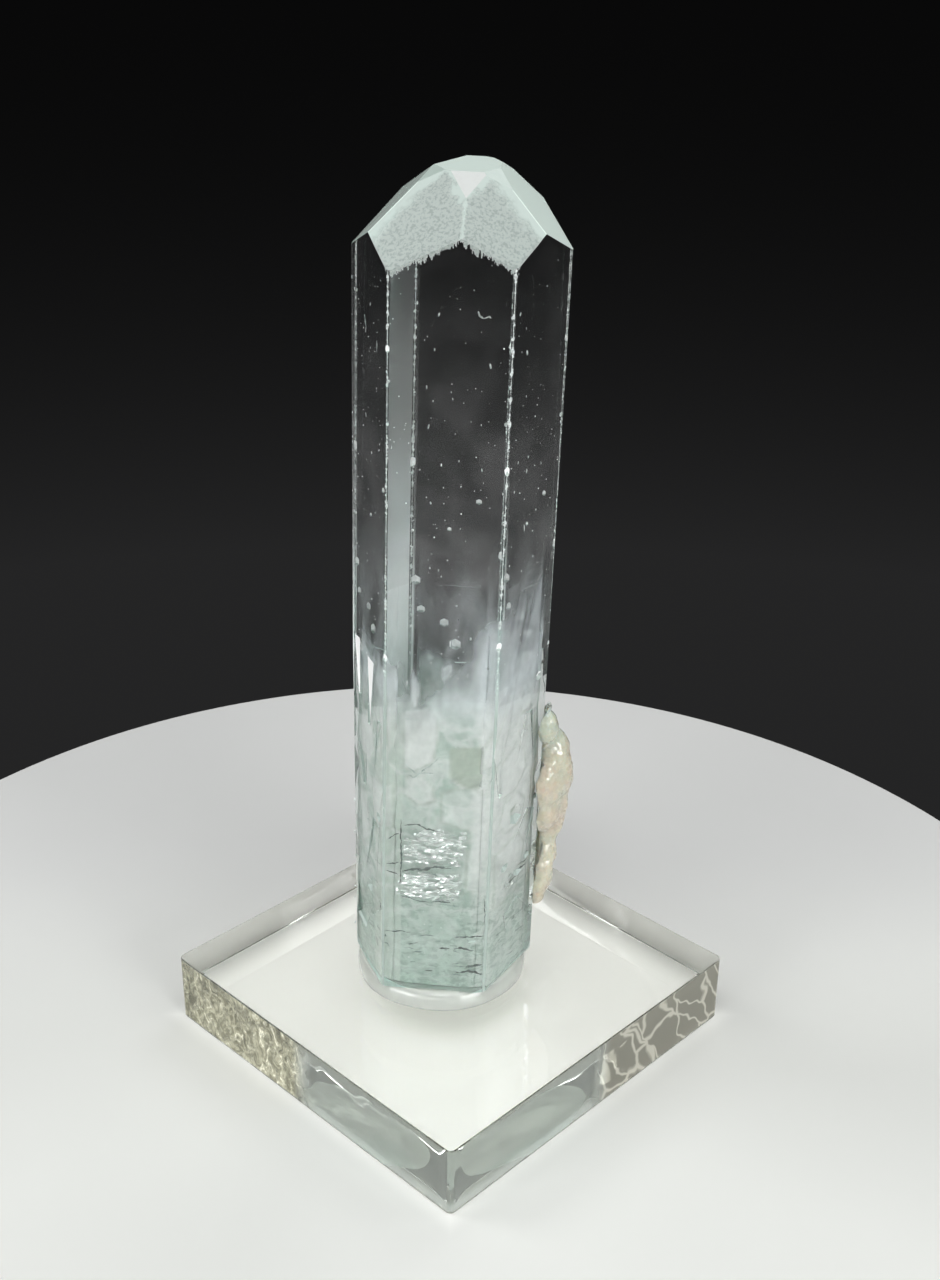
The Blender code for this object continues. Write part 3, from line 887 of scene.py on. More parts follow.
@dataclass(frozen=True)
class AcrylicFinish:
    """Clear acrylic.

    The two front sides are polished near their shared corner, where a thin aqua haze is a painted
    reflection that makes the crystal's image bluer. Further out the left one is rough-cut and
    rippled, and its olive and cream specks with yellow sparkles are painted reflections and
    highlights; the right one is scratched, and its umber haze and cream streaks partly paint
    reflections seen through the block. The two rear sides are hazy.
    """

    half: float = 25.4
    skin: float = 0.35
    depth: float = 0.45
    front_haze: float = 0.13
    rear_haze: float = 0.44
    painted_line_haze: float = 0.60
    line_cover: float = 0.75
    inside: Colour = (0.93, 0.965, 0.84)
    density: float = 5.0
    clear: Colour = (0.992, 0.996, 0.985)
    # aqua tints the front walls' thin haze, a painted reflection that makes the crystal's image in
    # them bluer.
    aqua: Colour = (0.88, 0.965, 0.925)
    # cream and olive, with the yellow after them, paint the reflections and highlights of the left
    # wall's outer part; umber is the haze of the right and rear walls, and on the right wall it
    # paints the backdrop seen through as brown.
    cream: Colour = (0.46, 0.45, 0.33)
    olive: Colour = (0.17, 0.165, 0.11)
    painted_glint: Colour = (0.90, 0.88, 0.72)
    umber: Colour = (0.23, 0.225, 0.185)
    line_tone: Colour = (0.48, 0.47, 0.40)

    def material(self) -> Material:
        """Make the material.

        Returns:
            The material.
        """
        graph = ShaderGraph("acrylic_polished")
        place = graph.place()
        x, y, z = graph.parts(place)
        inner = graph.product(graph.step(z, 0.25, 0.35), graph.step(z, 9.30, 9.20))
        # The outer parts of the left and right walls, where reflections seen through the block are
        # painted on.
        painted_fleck_area = graph.product(self.low_side(graph, x), graph.step(y, -3.0, 3.0), inner)
        painted_line_area = graph.product(self.low_side(graph, y), graph.step(x, -2.0, 3.0), inner)
        rips = graph.noise(graph.stretch(place, (0.45, 0.45, 0.35)), 1.0, 3.0, 0.6, 1.2)
        bent = graph.warped(place, 0.16, 7.0)
        sheared = graph.add("ShaderNodeCombineXYZ")
        graph.feed(sheared.inputs["X"], graph.dot(bent, (0.25, 0.0, 0.17)))
        graph.feed(sheared.inputs["Y"], graph.dot(bent, (-0.05, 0.0, 0.11)))
        web = graph.cell_edges(sheared.outputs["Vector"])
        # Cream streaks on the right wall: scratches, which also paint the reflections seen through
        # the block.
        painted_lines = graph.product(graph.step(web, 0.075, 0.02), painted_line_area)
        # Painted reflections: the left wall's outer part is mostly covered in specks.
        painted_fleck_cover = graph.product(graph.step(rips, 0.42, 0.62, 0.92, 0.50), painted_fleck_area)
        front = graph.product(self.low_side(graph, graph.math("MINIMUM", x, y)), inner)
        rear = graph.step(graph.most(x, y), self.half - self.depth, self.half - self.skin)
        rear = graph.product(rear, inner)
        sill = graph.step(graph.math("ADD", z, graph.noise(place, 0.15)), 2.9, 1.4, 0.0, 0.26)
        haze = graph.product(front, graph.most(sill, self.front_haze))
        haze = graph.most(graph.product(painted_line_area, self.painted_line_haze), haze)
        haze = graph.most(haze, graph.product(rear, self.rear_haze))
        cover = graph.most(graph.product(painted_lines, self.line_cover), haze, painted_fleck_cover)
        # Painted reflections and highlights: olive and cream specks with yellow sparkles.
        painted_flecks = graph.noise(graph.stretch(place, (1.0, 0.75, 0.55)), 1.0, 4.0, 0.65, 1.6)
        painted_glints = graph.step(painted_flecks, 0.60, 0.66)
        painted_flecks = graph.step(painted_flecks, 0.38, 0.62)
        tone = graph.blend(painted_lines, self.umber, self.line_tone)
        painted_speckle = graph.blend(painted_glints, graph.blend(painted_flecks, self.olive, self.cream), self.painted_glint)
        tone = graph.blend(painted_fleck_area, tone, painted_speckle)
        tinted = graph.most(painted_line_area, painted_fleck_area, graph.product(rear, 0.9))
        graph.surface(
            Base_Color=graph.blend(tinted, graph.blend(front, self.clear, self.aqua), tone),
            Roughness=0.0,
            Transmission_Weight=graph.math("SUBTRACT", 1.0, cover),
            IOR=1.49,
        )
        graph.absorb(self.inside, self.density)
        return graph.material

    def low_side(self, graph: ShaderGraph, value: Socket) -> Socket:
        """Return 1 at the side where a coordinate is lowest and 0 inside the block."""
        return graph.step(value, self.depth - self.half, self.skin - self.half)


# ---------------------------------------- mesh helpers


def object_from(name: str, shape: Shape, materials: Sequence[Material] = ()) -> Piece:
    """Make an object at the origin that holds a bmesh, which is freed.

    Args:
        name: The object's name.
        shape: The mesh.
        materials: Its materials, by index.

    Returns:
        The object.
    """
    mesh = bpy.data.meshes.new(name)
    for material in materials:
        mesh.materials.append(material)
    shape.to_mesh(mesh)
    shape.free()
    made = bpy.data.objects.new(name, mesh)
    bpy.context.scene.collection.objects.link(made)
    return made


def merged_copy(node: Piece, flat_angle: float | None = None) -> Shape:
    """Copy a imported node's loose triangles into one closed mesh.

    Args:
        node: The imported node's object.
        flat_angle: The angle under which neighbouring triangles are one face, or None to keep them.

    Returns:
        The mesh.
    """
    shape = bmesh.new()
    shape.from_mesh(node.data)
    bmesh.ops.remove_doubles(shape, verts=shape.verts, dist=WELD)
    if flat_angle is not None:
        bmesh.ops.dissolve_limit(
            shape, angle_limit=flat_angle, verts=shape.verts, edges=shape.edges
        )
    return shape


def cut_back(shape: Shape, normal: Vector, distance: float) -> None:
    """Cut a convex mesh back to a plane and close the cut.

    Args:
        shape: The mesh.
        normal: The plane's outward normal.
        distance: Its distance along the normal.
    """
    cut = bmesh.ops.bisect_plane(
        shape,
        geom=[*shape.verts, *shape.edges, *shape.faces],
        dist=FINE_SNAP,
        plane_co=normal * distance,
        plane_no=normal,
        clear_outer=True,
    )
    rim = [part for part in cut["geom_cut"] if isinstance(part, bmesh.types.BMEdge)]
    if len(rim) > 2:
        bmesh.ops.contextual_create(shape, geom=rim)


def is_level(edge: bmesh.types.BMEdge) -> bool:
    """Return whether an edge is level."""
    return abs(edge.verts[0].co.z - edge.verts[1].co.z) < SNAP


def bevel(shape: Shape, edges: list, offset: float, segments: int) -> None:
    """Round some edges of a mesh."""
    bmesh.ops.bevel(
        shape, geom=edges, offset=offset, segments=segments, profile=0.5, affect="EDGES"
    )


def evaluated(made: Piece) -> Piece:
    """Bake an object's modifiers into its mesh and remove them.

    Args:
        made: The object.

    Returns:
        The same object.
    """
    graph = bpy.context.evaluated_depsgraph_get()
    graph.update()
    mesh = bpy.data.meshes.new_from_object(made.evaluated_get(graph))
    made.modifiers.clear()
    made.data = mesh
    return made


def finish_piece(piece: Piece, slot: Slot, *replaced: Node) -> None:
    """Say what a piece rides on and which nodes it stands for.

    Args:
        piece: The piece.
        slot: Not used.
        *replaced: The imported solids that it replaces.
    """
    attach(piece, ROOT)
    if replaced:
        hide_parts(*(node.value for node in replaced))
    LOG.info("%s: %d faces", piece.name, len(piece.data.polygons))


# ---------------------------------------- inside the crystal


def eased(value: float) -> float:
    """Return an S-curve from 0 to 1 over the values 0 to 1."""
    value = min(1.0, max(0.0, value))
    return value * value * (3 - 2 * value)


@dataclass(frozen=True)
class GrowthZone:
    """A growth zone of the milky core: an outline across and up a prism face, in millimetres."""

    face: int
    outline: tuple[Spot, ...]
    pale: float = 0.9
    olive: float = 0.0
    lift: float = 0.30
    soft: float = 0.45
    rim: float = 0.34

    def share(self, across: float, height: float) -> float:
        """Say how far inside the zone a place is.

        Args:
            across: Millimetres across the face.
            height: Millimetres up.

        Returns:
            0 outside, rising to 1 inside.
        """
        xs, ys = zip(*self.outline)
        if not (min(xs) < across < max(xs) and min(ys) < height < max(ys)):
            return 0.0
        inside, nearest = False, math.inf
        for (x1, y1), (x2, y2) in zip(self.outline, (*self.outline[1:], self.outline[0])):
            run, rise, x, y = x2 - x1, y2 - y1, across - x1, height - y1
            if (y1 > height) != (y2 > height) and across < run * y / rise + x1:
                inside = not inside
            along = min(1.0, max(0.0, (x * run + y * rise) / (run**2 + rise**2)))
            nearest = min(nearest, math.hypot(x - along * run, y - along * rise))
        return eased(nearest / self.soft) if inside else 0.0


GROWTH_ZONES = (
    GrowthZone(0, (
        (-3.6, 49.5), (-3.0, 47.9), (-2.5, 46.8), (-2.4, 45.2), (-2.8, 43.2), (-3.6, 43.2),
        (-3.9, 44.8), (-4.0, 46.9),
    )),
    GrowthZone(0, ((-0.4, 49.1), (1.2, 50.0), (1.3, 48.6), (0.5, 47.0), (-0.3, 47.0))),
    GrowthZone(0, ((4.3, 48.7), (6.1, 50.2), (6.2, 48.5), (5.8, 47.6), (4.3, 47.4))),
    GrowthZone(0, (
        (-4.7, 43.0), (-1.5, 43.9), (-0.4, 42.3), (-0.1, 39.8), (-0.8, 36.0), (-3.1, 34.5),
        (-4.6, 35.0),
    )),
    GrowthZone(0, ((1.1, 33.8), (3.0, 35.0), (5.4, 35.1), (4.6, 33.2), (2.5, 32.6)), 1.0, lift=0.4),
    GrowthZone(
        0, ((-4.4, 34.2), (-2.0, 34.4), (-0.6, 32.8), (-0.4, 30.6), (-2.4, 29.8), (-4.5, 31.2)), 0.6
    ),
    GrowthZone(
        0,
        (
            (-0.2, 32.2), (1.9, 33.2), (4.1, 33.3), (6.1, 31.7), (6.2, 17.5), (3.0, 17.5),
            (3.3, 26.5), (-0.1, 27.5),
        ),
        0.35,
        soft=0.7,
    ),
    GrowthZone(
        0, ((0.7, 38.4), (5.1, 38.8), (6.1, 33.0), (3.3, 32.6), (0.9, 34.0)), 0.0, 0.9, lift=-0.2
    ),
    GrowthZone(
        1, ((-4.6, 38.0), (-1.9, 44.3), (-0.6, 45.0), (-1.2, 40.9), (-2.6, 36.0), (-4.4, 35.0))
    ),
    GrowthZone(1, ((0.4, 42.9), (1.6, 44.5), (3.4, 42.0), (2.9, 40.1), (0.7, 40.7))),
    GrowthZone(
        1, ((-3.9, 35.4), (-0.3, 37.0), (2.2, 35.6), (2.6, 32.6), (0.6, 30.2), (-2.9, 30.4)), 0.7
    ),
    GrowthZone(
        1, ((-2.2, 29.6), (1.0, 30.0), (2.9, 28.0), (1.9, 24.8), (-1.4, 24.6), (-3.0, 26.9)), 0.8
    ),
    GrowthZone(1, ((-0.9, 28.2), (0.6, 28.4), (1.0, 27.0), (-0.5, 26.6)), 0.0, 0.7, lift=-0.2),
    GrowthZone(
        1, ((-3.8, 23.0), (1.6, 24.0), (3.4, 21.3), (2.0, 14.5), (-3.4, 13.9)), 0.4, soft=0.7
    ),
    GrowthZone(
        5, ((0.0, 45.5), (0.9, 47.0), (1.9, 45.0), (1.7, 41.6), (0.3, 40.9)), 0.8, soft=0.9, rim=0.2
    ),
    GrowthZone(
        5,
        ((-3.4, 44.0), (-2.3, 45.8), (-1.2, 43.5), (-1.5, 39.6), (-2.9, 38.6)),
        0.8,
        soft=0.9,
        rim=0.2,
    ),
    GrowthZone(
        5, ((2.3, 43.0), (3.3, 44.6), (4.2, 42.0), (3.8, 37.6), (2.4, 36.8)), 0.8, soft=0.9, rim=0.2
    ),
    GrowthZone(5, ((-3.4, 38.6), (0.6, 40.0), (1.4, 35.3), (-0.4, 32.6), (-3.0, 33.2)), 0.8),
    GrowthZone(5, ((0.4, 31.6), (3.8, 32.6), (4.2, 26.3), (1.4, 24.7)), 0.6),
    GrowthZone(5, ((-3.8, 27.6), (-0.8, 28.6), (0.2, 22.3), (-2.4, 19.7)), 0.6),
    GrowthZone(2, ((-3.4, 34.6), (0.6, 36.0), (1.4, 29.3), (-2.0, 28.2)), 0.8),
    GrowthZone(3, ((-2.4, 33.6), (2.6, 34.0), (3.4, 26.3), (-1.0, 24.2)), 0.6),
    GrowthZone(4, ((-3.4, 32.6), (0.6, 34.0), (1.4, 25.3), (-2.0, 24.2)), 0.7),
)


@dataclass
class MilkyCore:
    """The milky zone of the lower beryl: a soft shell close behind the prism faces."""

    frame: CrystalFrame
    behind: float = 1.5 * MM
    low: float = 2.8 * MM
    high: float = 64.0 * MM
    rows: int = 190
    columns: int = 34
    tops: tuple[float, ...] = (46.0, 47.5, 47.0, 44.0, 40.0, 46.0)
    rise: tuple[float, ...] = (1.05, 0.5, 0.0, 0.0, 0.0, 0.0)
    wisps: tuple[float, ...] = (1.0, 1.7, 0.5, 0.2, 0.2, 0.55)
    veils: tuple[float, ...] = (0.0, 0.55, 0.0, 0.0, 0.0, 0.0)
    most: float = 0.95
    thinnest: float = 0.004
    zone_milk: float = 0.7
    ripple: float = 0.22
    rounding: float = 1.0

    def thickness(self, face: int, across: float, height: float) -> float:
        """Say how milky the beryl is at a place.

        Args:
            face: The prism face in front of it.
            across: Millimetres across that face.
            height: Millimetres up.

        Returns:
            The share that the milk covers.
        """
        broad = noise.noise(Vector((across * 0.30, height * 0.12, 3.0 + 7 * face)))
        fine = noise.noise(Vector((across * 0.95, height * 0.40, 40.0 + 5 * face)))
        top = self.tops[face] + self.rise[face] * across + 5.0 * broad + 2.2 * fine
        solid = eased((top + 4.5 - height) / 9.0)
        lean = across - 0.25 * height
        streak = noise.noise(Vector((lean * 0.36, height * 0.075, 30.0 + face)))
        streak += 0.25 * noise.noise(Vector((lean * 1.1, height * 0.15, 60.0 + face)))
        place = eased((62.0 - height) / 12.0)
        if face == 0:
            place *= eased((across + 2.5) / 4.0)
        wisp = max(0.0, 1.9 * streak + 0.30 + self.veils[face]) * place * self.wisps[face]
        return self.most * min(1.0, solid + (1 - solid) * 0.60 * min(1.0, wisp))

    def ring(self, shape: Shape, height: float) -> list[bmesh.types.BMVert]:
        """Add one level of the shell, with what each vertex holds of the milk and its zones.

        Args:
            shape: The mesh, in the crystal's frame.
            height: The level's height.

        Returns:
            The vertices, round the crystal.
        """
        layers = shape.verts.layers.float
        milk, pale, olive = layers[MILK], layers[PALE_ZONE], layers[OLIVE_ZONE]
        inner = self.frame.drawn_in(self.behind)
        up = height / MM
        made = []
        for face in range(6):
            start, end = inner.sides(face, height)
            right, out = self.frame.normal(face + 1.5), self.frame.normal(face)
            zones = [zone for zone in GROWTH_ZONES if zone.face == face]
            for column in range(self.columns):
                share = column / self.columns
                point = start.lerp(end, share)
                across = point.dot(right) / MM
                held = [(zone, zone.share(across, up)) for zone in zones]
                ripple = noise.noise(Vector((across * 0.35, up * 0.2, face * 9.0)))
                ripple += 0.35 * noise.noise(Vector((across * 1.3, up * 0.9, face * 9.0 + 4)))
                depth = self.rounding * abs(2 * share - 1) ** 6 + self.ripple * ripple
                lift = sum(zone.lift * found for zone, found in held)
                vertex = shape.verts.new(point - out * ((depth - lift) * MM))
                raised = (found for zone, found in held if zone.lift > 0.0)
                milky = self.zone_milk * max(raised, default=0.0)
                vertex[milk] = max(self.thickness(face, across, up), milky)
                vertex[pale] = max((zone.pale * found for zone, found in held), default=0.0)
                rims = (
                    max(zone.olive * found, zone.rim * 4 * found * (1 - found))
                    for zone, found in held
                )
                vertex[olive] = max(rims, default=0.0)
                made.append(vertex)
        return made

    def build(self) -> Piece:
        """Make the shell, open where there is no milk.

        Returns:
            The shell.
        """
        shape = bmesh.new()
        for name in (MILK, PALE_ZONE, OLIVE_ZONE):
            shape.verts.layers.float.new(name)
        milk = shape.verts.layers.float[MILK]
        tall = self.high - self.low
        grid = [self.ring(shape, self.low + tall * row / self.rows) for row in range(self.rows + 1)]
        for lower, upper in zip(grid, grid[1:]):
            for side in range(len(lower)):
                after = (side + 1) % len(lower)
                corners = (lower[side], lower[after], upper[after], upper[side])
                if max(vertex[milk] for vertex in corners) > self.thinnest:
                    shape.faces.new(corners).smooth = True
        stray = [vertex for vertex in shape.verts if not vertex.link_faces]
        bmesh.ops.delete(shape, geom=stray, context="VERTS")
        bmesh.ops.transform(shape, matrix=self.frame.matrix(), verts=shape.verts)
        return object_from("milky_core", shape, [MilkFinish(self.frame).material()])


@dataclass(frozen=True)
class SilverPatch:
    """A silvery crack: a splintered sheet behind a prism face, in millimetres."""

    face: int
    outline: tuple[Spot, ...]
    behind: float
    relief: float
    seed: int
    pitch: float = 0.30
    squash: float = 0.6
    ragged: float = 1.9
    torn: float = -0.24

    def smoothed(self) -> list[Vector]:
        """Round off the outline's corners in two rounds.

        Returns:
            The outline's points.
        """
        points = [Vector(point) for point in self.outline]
        for _ in range(2):
            pairs = zip(points, points[1:] + points[:1])
            points = [first.lerp(last, share) for first, last in pairs for share in (0.2, 0.8)]
        return points

    def holds(self, point: Vector, outline: Sequence[Vector]) -> bool:
        """Say whether a point lies inside an outline.

        Args:
            point: The point.
            outline: The outline's corners.

        Returns:
            Whether it does.
        """
        inside = False
        for first, last in zip(outline, list(outline[1:]) + [outline[0]]):
            if (first.y > point.y) != (last.y > point.y):
                run, rise = last.x - first.x, last.y - first.y
                if point.x < run * (point.y - first.y) / rise + first.x:
                    inside = not inside
        return inside

    def add(self, shape: Shape, frame: CrystalFrame) -> None:
        """Add the sheet's small facets.

        Args:
            shape: The mesh, in the crystal's frame.
            frame: The crystal's frame.
        """
        place = frame.behind(self.face, 0.0, 0.0, self.behind * MM)
        outline = self.smoothed()
        low = Vector((min(point.x for point in outline), min(point.y for point in outline)))
        high = Vector((max(point.x for point in outline), max(point.y for point in outline)))
        columns = int((high.x - low.x) / self.pitch) + 1
        rows = int((high.y - low.y) / self.pitch / self.squash) + 1
        made: dict[tuple[int, int], bmesh.types.BMVert] = {}

        def corner(column: int, row: int) -> bmesh.types.BMVert:
            """Return a grid corner, made when it is first asked for."""
            if (column, row) not in made:
                x, y = low.x + column * self.pitch, low.y + row * self.pitch * self.squash
                z = noise.noise(Vector((x * 0.55, y * 1.5, self.seed)))
                z += 0.55 * noise.noise(Vector((x * 1.6, y * 4.2, self.seed + 3)))
                jitter = noise.noise_vector(Vector((x * 3, y * 3, self.seed + 8)))
                jitter = jitter * self.pitch * 0.4
                spot = Vector((x + jitter.x, y + jitter.y * 0.5, z * self.relief)) * MM
                made[column, row] = shape.verts.new(place @ spot)
            return made[column, row]

        steps = ((0, 0), (1, 0), (1, 1), (0, 1))
        for column in range(columns):
            for row in range(rows):
                across, up = (column + 0.5) * self.pitch, (row + 0.5) * self.pitch * self.squash
                centre = low + Vector((across, up))
                shift = noise.noise_vector(Vector((centre.x * 0.7, centre.y * 1.4, self.seed + 5)))
                gap = noise.noise(Vector((centre.x * 0.8, centre.y * 2.6, self.seed + 15)))
                if gap > self.torn and self.holds(centre + shift.to_2d() * self.ragged, outline):
                    corners = [corner(column + right, row + over) for right, over in steps]
                    shape.faces.new(corners[:3])
                    shape.faces.new((corners[0], corners[2], corners[3]))


SILVER_PATCHES = (
    SilverPatch(
        0, ((-4.2, 27.2), (3.1, 26.8), (3.2, 23.9), (2.2, 21.8), (-4.1, 21.8)), 0.75, 0.32, 4
    ),
    SilverPatch(
        0, ((-5.4, 20.6), (2.8, 20.4), (2.9, 18.0), (-0.8, 16.1), (-4.6, 16.7)), 0.75, 0.32, 17
    ),
    SilverPatch(1, ((-2.0, 18.6), (0.6, 18.9), (0.8, 16.2), (-1.6, 15.8)), 0.8, 0.25, 29),
)


class NodeTree:
    """A Geometry Nodes tree with named inputs, built in the script."""

    def __init__(self, name: str, **inputs: float) -> None:
        """Start the tree.

        Args:
            name: The tree's name.
            **inputs: Its number inputs, by name, and their defaults.
        """
        self.tree = bpy.data.node_groups.new(name, "GeometryNodeTree")
        face = self.tree.interface
        face.new_socket("Geometry", in_out="INPUT", socket_type="NodeSocketGeometry")
        for label, number in inputs.items():
            kind = "NodeSocketInt" if isinstance(number, int) else "NodeSocketFloat"
            face.new_socket(label, in_out="INPUT", socket_type=kind).default_value = number
        face.new_socket("Geometry", in_out="OUTPUT", socket_type="NodeSocketGeometry")
        self.source = self.tree.nodes.new("NodeGroupInput")
        self.sink = self.tree.nodes.new("NodeGroupOutput")

    def add(
        self, kind: str, links: dict[object, object] | None = None, **settings: object
    ) -> bpy.types.Node:
        """Add a node.

        Args:
            kind: Its type name.
            links: What each input takes: a socket or a value, by the input's name or index.
            **settings: Properties to set on it.

        Returns:
            The node.
        """
        made = self.tree.nodes.new(kind)
        for key, value in settings.items():
            setattr(made, key, value)
        for key, value in (links or {}).items():
            if isinstance(value, bpy.types.NodeSocket):
                self.tree.links.new(value, made.inputs[key])
            else:
                made.inputs[key].default_value = value
        return made

    def number(self, operation: str, first: object, second: object) -> Socket:
        """Return the result of a Math node."""
        return self.add("ShaderNodeMath", {0: first, 1: second}, operation=operation).outputs[0]

    def vector(self, operation: str, first: object, second: object) -> Socket:
        """Return the result of a Vector Math node."""
        inputs = {0: first, 1: second}
        return self.add("ShaderNodeVectorMath", inputs, operation=operation).outputs[0]

    def scaled(self, vector: object, factor: object) -> Socket:
        """Return a vector times a number."""
        inputs = {0: vector, "Scale": factor}
        return self.add("ShaderNodeVectorMath", inputs, operation="SCALE").outputs[0]

    def random_vector(self, low: Triple, high: Triple, seed: Socket) -> Socket:
        """Return a random vector for each point."""
        inputs = {0: low, 1: high, "Seed": seed}
        return self.add("FunctionNodeRandomValue", inputs, data_type="FLOAT_VECTOR").outputs[0]

    def finish(self, geometry: Socket, material: Material) -> None:
        """End the tree: realize the instances and set the material.

        Args:
            geometry: What the tree made.
            material: Its material.
        """
        self.material = material
        real = self.add("GeometryNodeRealizeInstances", {"Geometry": geometry})
        dressed = self.add(
            "GeometryNodeSetMaterial", {"Geometry": real.outputs[0], "Material": material}
        )
        self.tree.links.new(dressed.outputs[0], self.sink.inputs[0])

    def run(self, name: str, host: Piece, frame: CrystalFrame, **inputs: float) -> Piece:
        """Run the tree on a host in the crystal's frame and place the result.

        Args:
            name: The piece's name.
            host: The host, which becomes the piece.
            frame: The crystal's frame.
            **inputs: The tree's inputs.

        Returns:
            The piece.
        """
        grown = host.modifiers.new(name, "NODES")
        grown.node_group = self.tree
        for item in self.tree.interface.items_tree:
            if item.in_out == "INPUT" and item.name in inputs:
                grown[item.identifier] = inputs[item.name]
        evaluated(host)
        host.name = host.data.name = name
        host.data.materials.clear()
        host.data.materials.append(self.material)
        host.data.transform(frame.matrix())
        return host


class GrainTree(NodeTree):
    """Strews small rounded grains over the host's faces."""

    def __init__(self, name: str, material: Material) -> None:
        """Build the tree.

        Args:
            name: The tree's name.
            material: The grains' material.
        """
        super().__init__(name, Density=1e5, Small=3e-5, Large=1e-4, Stretch=1.0, Turn=0.4, Seed=1)
        take = self.source.outputs
        points = self.add(
            "GeometryNodeDistributePointsOnFaces",
            {"Mesh": take["Geometry"], "Density": take["Density"], "Seed": take["Seed"]},
        )
        chance = self.add(
            "FunctionNodeRandomValue", {2: 0.0, 3: 1.0, "Seed": take["Seed"]}, data_type="FLOAT"
        )
        skew = self.number("POWER", chance.outputs[1], 3.0)
        span = self.number("SUBTRACT", take["Large"], take["Small"])
        size = self.number("ADD", self.number("MULTIPLY", skew, span), take["Small"])
        shape_seed, turn_seed = (self.number("ADD", take["Seed"], more) for more in (7, 13))
        uneven = self.random_vector((0.6, 0.6, 0.6), (1.2, 1.2, 1.4), shape_seed)
        long = self.add("ShaderNodeCombineXYZ", {0: 1.0, 1: 1.0, 2: take["Stretch"]})
        scale = self.scaled(self.vector("MULTIPLY", uneven, long.outputs[0]), size)
        turned = self.random_vector((-1.0, -1.0, -3.1), (1.0, 1.0, 3.1), turn_seed)
        ball = self.add("GeometryNodeMeshIcoSphere", {"Radius": 1.0, "Subdivisions": 1})
        placed = self.add(
            "GeometryNodeInstanceOnPoints",
            {
                "Points": points.outputs["Points"],
                "Instance": ball.outputs["Mesh"],
                "Rotation": self.scaled(turned, take["Turn"]),
                "Scale": scale,
            },
        )
        self.finish(placed.outputs[0], material)


class CrackTree(NodeTree):
    """Makes thin, ragged cracks along the host's edges."""

    def __init__(self, name: str, material: Material) -> None:
        """Build the tree.

        Args:
            name: The tree's name.
            material: The cracks' material.
        """
        super().__init__(name, Step=1.5e-4, Wander=1e-4)
        take = self.source.outputs
        paths = self.add("GeometryNodeMeshToCurve", {"Mesh": take["Geometry"]})
        fine = self.add(
            "GeometryNodeResampleCurve",
            {"Curve": paths.outputs[0], "Length": take["Step"]},
            mode="LENGTH",
        )
        where = self.add("GeometryNodeInputPosition").outputs[0]
        shake = self.add("ShaderNodeTexNoise", {"Vector": where, "Scale": 1500.0, "Detail": 3.0})
        centred = self.vector("SUBTRACT", shake.outputs["Color"], (0.5, 0.5, 0.5))
        shift = self.scaled(centred, take["Wander"])
        moved = self.add("GeometryNodeSetPosition", {"Geometry": fine.outputs[0], "Offset": shift})
        along = self.add("GeometryNodeSplineParameter").outputs["Factor"]
        both = self.number("MULTIPLY", along, self.number("SUBTRACT", 1.0, along))
        taper = self.number("POWER", self.number("MULTIPLY", both, 4.0), 0.5)
        knots = self.add("ShaderNodeTexNoise", {"Vector": where, "Scale": 2600.0, "Detail": 2.0})
        uneven = self.number("MULTIPLY", knots.outputs[0], knots.outputs[0])
        wide = self.add("GeometryNodeInputNamedAttribute", {"Name": WIDE}, data_type="FLOAT")
        wide = self.number("MULTIPLY", wide.outputs[0], 3.2)
        reach = self.number("MULTIPLY", self.number("MULTIPLY", taper, uneven), wide)
        ring = self.add("GeometryNodeCurvePrimitiveCircle", {"Resolution": 5, "Radius": 1.0})
        tube = self.add(
            "GeometryNodeCurveToMesh",
            {
                "Curve": moved.outputs[0],
                "Profile Curve": ring.outputs["Curve"],
                "Scale": reach,
                "Fill Caps": True,
            },
        )
        self.finish(tube.outputs[0], material)


@dataclass(frozen=True)
class Crack:
    """A crack seen edge-on, as a path behind a prism face, in millimetres."""

    face: int
    wide: float
    path: tuple[Spot, ...]


